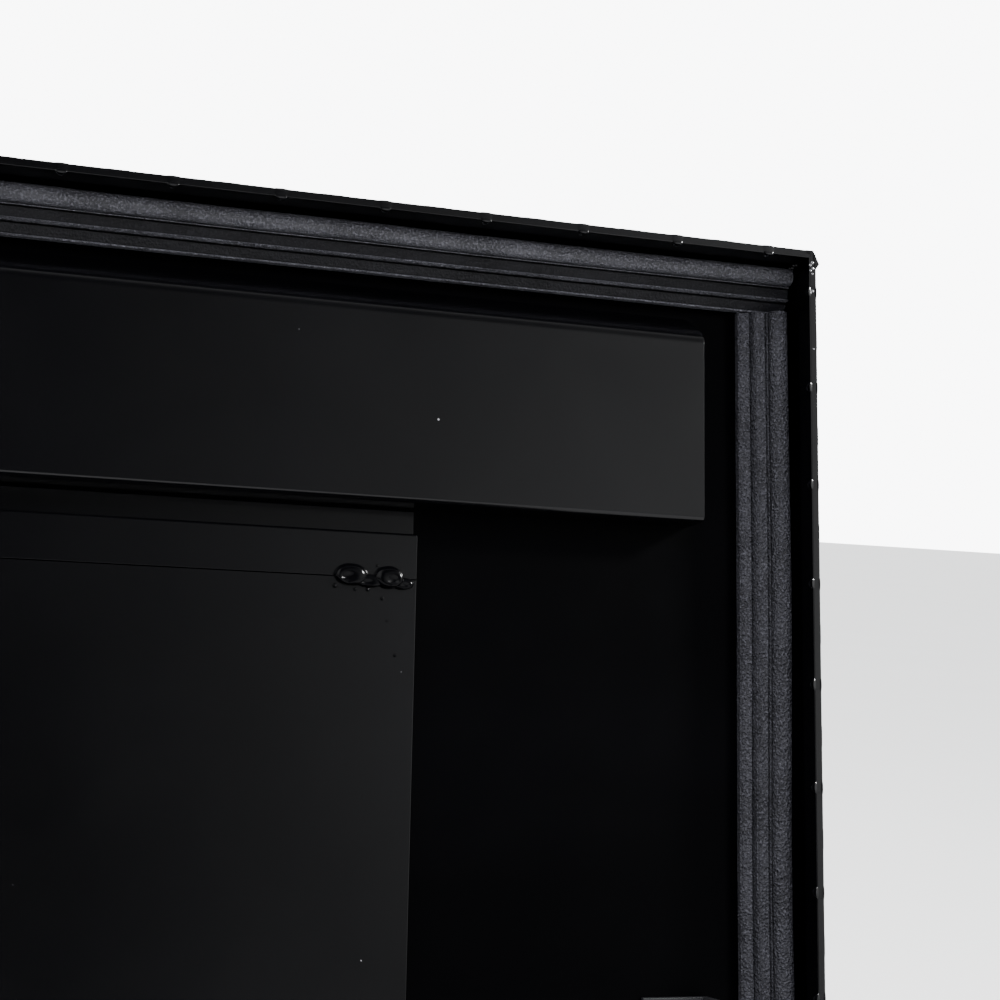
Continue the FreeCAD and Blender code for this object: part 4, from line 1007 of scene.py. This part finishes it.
def area_light(name, at, towards, size_x, size_y, watts, glint=False):
    """A soft light that only lights surfaces, or a glint that is only seen in reflections."""
    lamp = bpy.data.lights.new(name, "AREA")
    lamp.shape = "RECTANGLE"
    lamp.size = size_x
    lamp.size_y = size_y
    lamp.energy = watts
    made = bpy.data.objects.new(name, lamp)
    bpy.context.scene.collection.objects.link(made)
    made.location = at
    made.rotation_mode = "QUATERNION"
    made.rotation_quaternion = (Vector(towards) - Vector(at)).to_track_quat("-Z", "Y")
    made.visible_glossy = glint
    made.visible_diffuse = not glint


FLOOR_HALF = 40.0
FLOOR_DROP = 0.5 * MM  # keeps the floor clear of the case's underside
AMBIENT = 2.3  # strength of the world where it lights surfaces
BACKDROP = 9.0  # strength of the world behind the object


def make_studio():
    """A white floor, a world that lights evenly but mirrors dark and bright walls, four lamps."""
    floor = bpy.data.meshes.new("studio_floor")
    corners = [(x * FLOOR_HALF, y * FLOOR_HALF, 0) for x, y in ((-1, -1), (1, -1), (1, 1), (-1, 1))]
    floor.from_pydata(corners, [], [(0, 1, 2, 3)])
    shade = Shade("studio_floor", (0.92, 0.92, 0.92), 0.75)
    shade.mix(shade.ramp(shade.noise(1.5, 2), 0.3, 0.8), (0.94, 0.94, 0.94))
    # seen in reflections the floor turns dark grey: a painted reflection that keeps the black paint
    # dark
    in_mirror = shade.add("ShaderNodeLightPath").outputs["Is Glossy Ray"]
    shade.mix(shade.math("MULTIPLY", in_mirror, 0.94), (0.20, 0.20, 0.205))
    floor.materials.append(shade.done(Specular_IOR_Level=0.1))
    ground = bpy.data.objects.new("studio_floor", floor)
    bpy.context.scene.collection.objects.link(ground)
    ground.location.z = CAD_BOX[0].z - FLOOR_DROP

    world = bpy.data.worlds.new("studio")
    bpy.context.scene.world = world
    world.use_nodes = True
    nodes, links = world.node_tree.nodes, world.node_tree.links
    nodes.clear()

    def socket(node, name, given):
        if isinstance(given, (int, float)):
            node.inputs[name].default_value = given
        else:
            links.new(given, node.inputs[name])

    def ranged(output, low, high, to_low, to_high):
        made = nodes.new("ShaderNodeMapRange")
        made.interpolation_type = "SMOOTHSTEP"
        given = {
            "Value": output, "From Min": low, "From Max": high, "To Min": to_low, "To Max": to_high,
        }
        for name, value in given.items():
            socket(made, name, value)
        return made.outputs["Result"]

    def sums(kind, a, b):
        made = nodes.new("ShaderNodeMath")
        made.operation = kind
        socket(made, 0, a)
        socket(made, 1, b)
        return made.outputs[0]

    def blended(factor, a, b):
        made = nodes.new("ShaderNodeMix")
        made.data_type = "FLOAT"
        for name, given in (("Factor", factor), ("A", a), ("B", b)):
            socket(made, name, given)
        return made.outputs["Result"]

    axes = nodes.new("ShaderNodeSeparateXYZ")
    links.new(nodes.new("ShaderNodeTexCoord").outputs["Generated"], axes.inputs[0])
    x, y, z = axes.outputs
    # in reflections: dark in front, a soft wall to the front right, a paler one far left, dark
    # above the front right, even behind
    leaning = sums("ADD", x, sums("MULTIPLY", z, 0.3))
    far_left = sums("MULTIPLY", ranged(x, -0.45, -0.14, 1.6, 0.0), ranged(z, 0.05, 0.5, 0.1, 1.0))
    wall = sums("ADD", ranged(leaning, 0.02, 0.75, 0.0, 1.18), far_left)
    rightwards = ranged(x, -0.4, -0.1, 0.0, 1.0)
    shade_above = sums("MULTIPLY", ranged(z, 0.16, 0.70, 0.0, 0.94), rightwards)
    wall = sums("MULTIPLY", wall, sums("SUBTRACT", 1.0, shade_above))
    mirrored = blended(ranged(y, -0.6, 0.4, 1.0, 0.0), ranged(z, 0.1, 0.9, 0.5, 1.4), wall)
    path = nodes.new("ShaderNodeLightPath").outputs
    strength = blended(path["Is Glossy Ray"], AMBIENT, mirrored)
    strength = blended(path["Is Camera Ray"], strength, BACKDROP)
    light, out = nodes.new("ShaderNodeBackground"), nodes.new("ShaderNodeOutputWorld")
    light.inputs["Color"].default_value = (0.98, 0.99, 1, 1)
    links.new(strength, light.inputs["Strength"])
    links.new(light.outputs[0], out.inputs["Surface"])

    area_light("key", (3.3, -1.3, 2.5), (0.2, 0, 0.5), 0.5, 0.5, 260, glint=True)
    area_light("rim", (-2.6, 1.8, 2.3), (0, 0, 0.4), 0.6, 0.6, 220, glint=True)
    area_light("top", (0, -0.2, 3.5), (0, 0, 0.0), 4.0, 3.0, 200)
    area_light("front", (-0.3, -2.4, 2.5), (0.1, 0, 0.6), 1.0, 0.7, 150)


# The camera looks at the lid's front right-hand corner from close by: its place from that
# corner, and its directions, both on the shut lid's axes.
CAMERA_FROM_CORNER = Vector((-324.2, 219.7, -620.1)) * MM
CAMERA_RIGHT = Vector((0.955, -0.017, -0.296))
CAMERA_DOWN = Vector((0.064, 0.986, 0.151))
CAMERA_LENS = 62.64


def make_camera():
    """The scene's camera, squared up from its two measured directions."""
    data = bpy.data.cameras.new("camera")
    data.lens = CAMERA_LENS
    data.sensor_width = 36
    data.clip_start = 0.01
    made = bpy.data.objects.new("camera", data)
    bpy.context.scene.collection.objects.link(made)
    bpy.context.scene.camera = made
    corner = Vector((PAN_HIGH.x, PAN_LOW.y, PAN_LOW.z))
    turn = LID.to_3x3()
    right = (turn @ CAMERA_RIGHT).normalized()
    down = turn @ CAMERA_DOWN
    back = -(right.cross(down)).normalized()
    up = back.cross(right).normalized()
    made.matrix_world = Matrix.Translation(LID @ (corner + CAMERA_FROM_CORNER)) @ Matrix(
        (right, up, back)
    ).transposed().to_4x4()


make_camera()
make_lid_pan()
make_lid_lugs()
make_case_lugs()
make_seals()
make_panel_welds()
make_corner_welds()
finish_nodes()
make_studio()
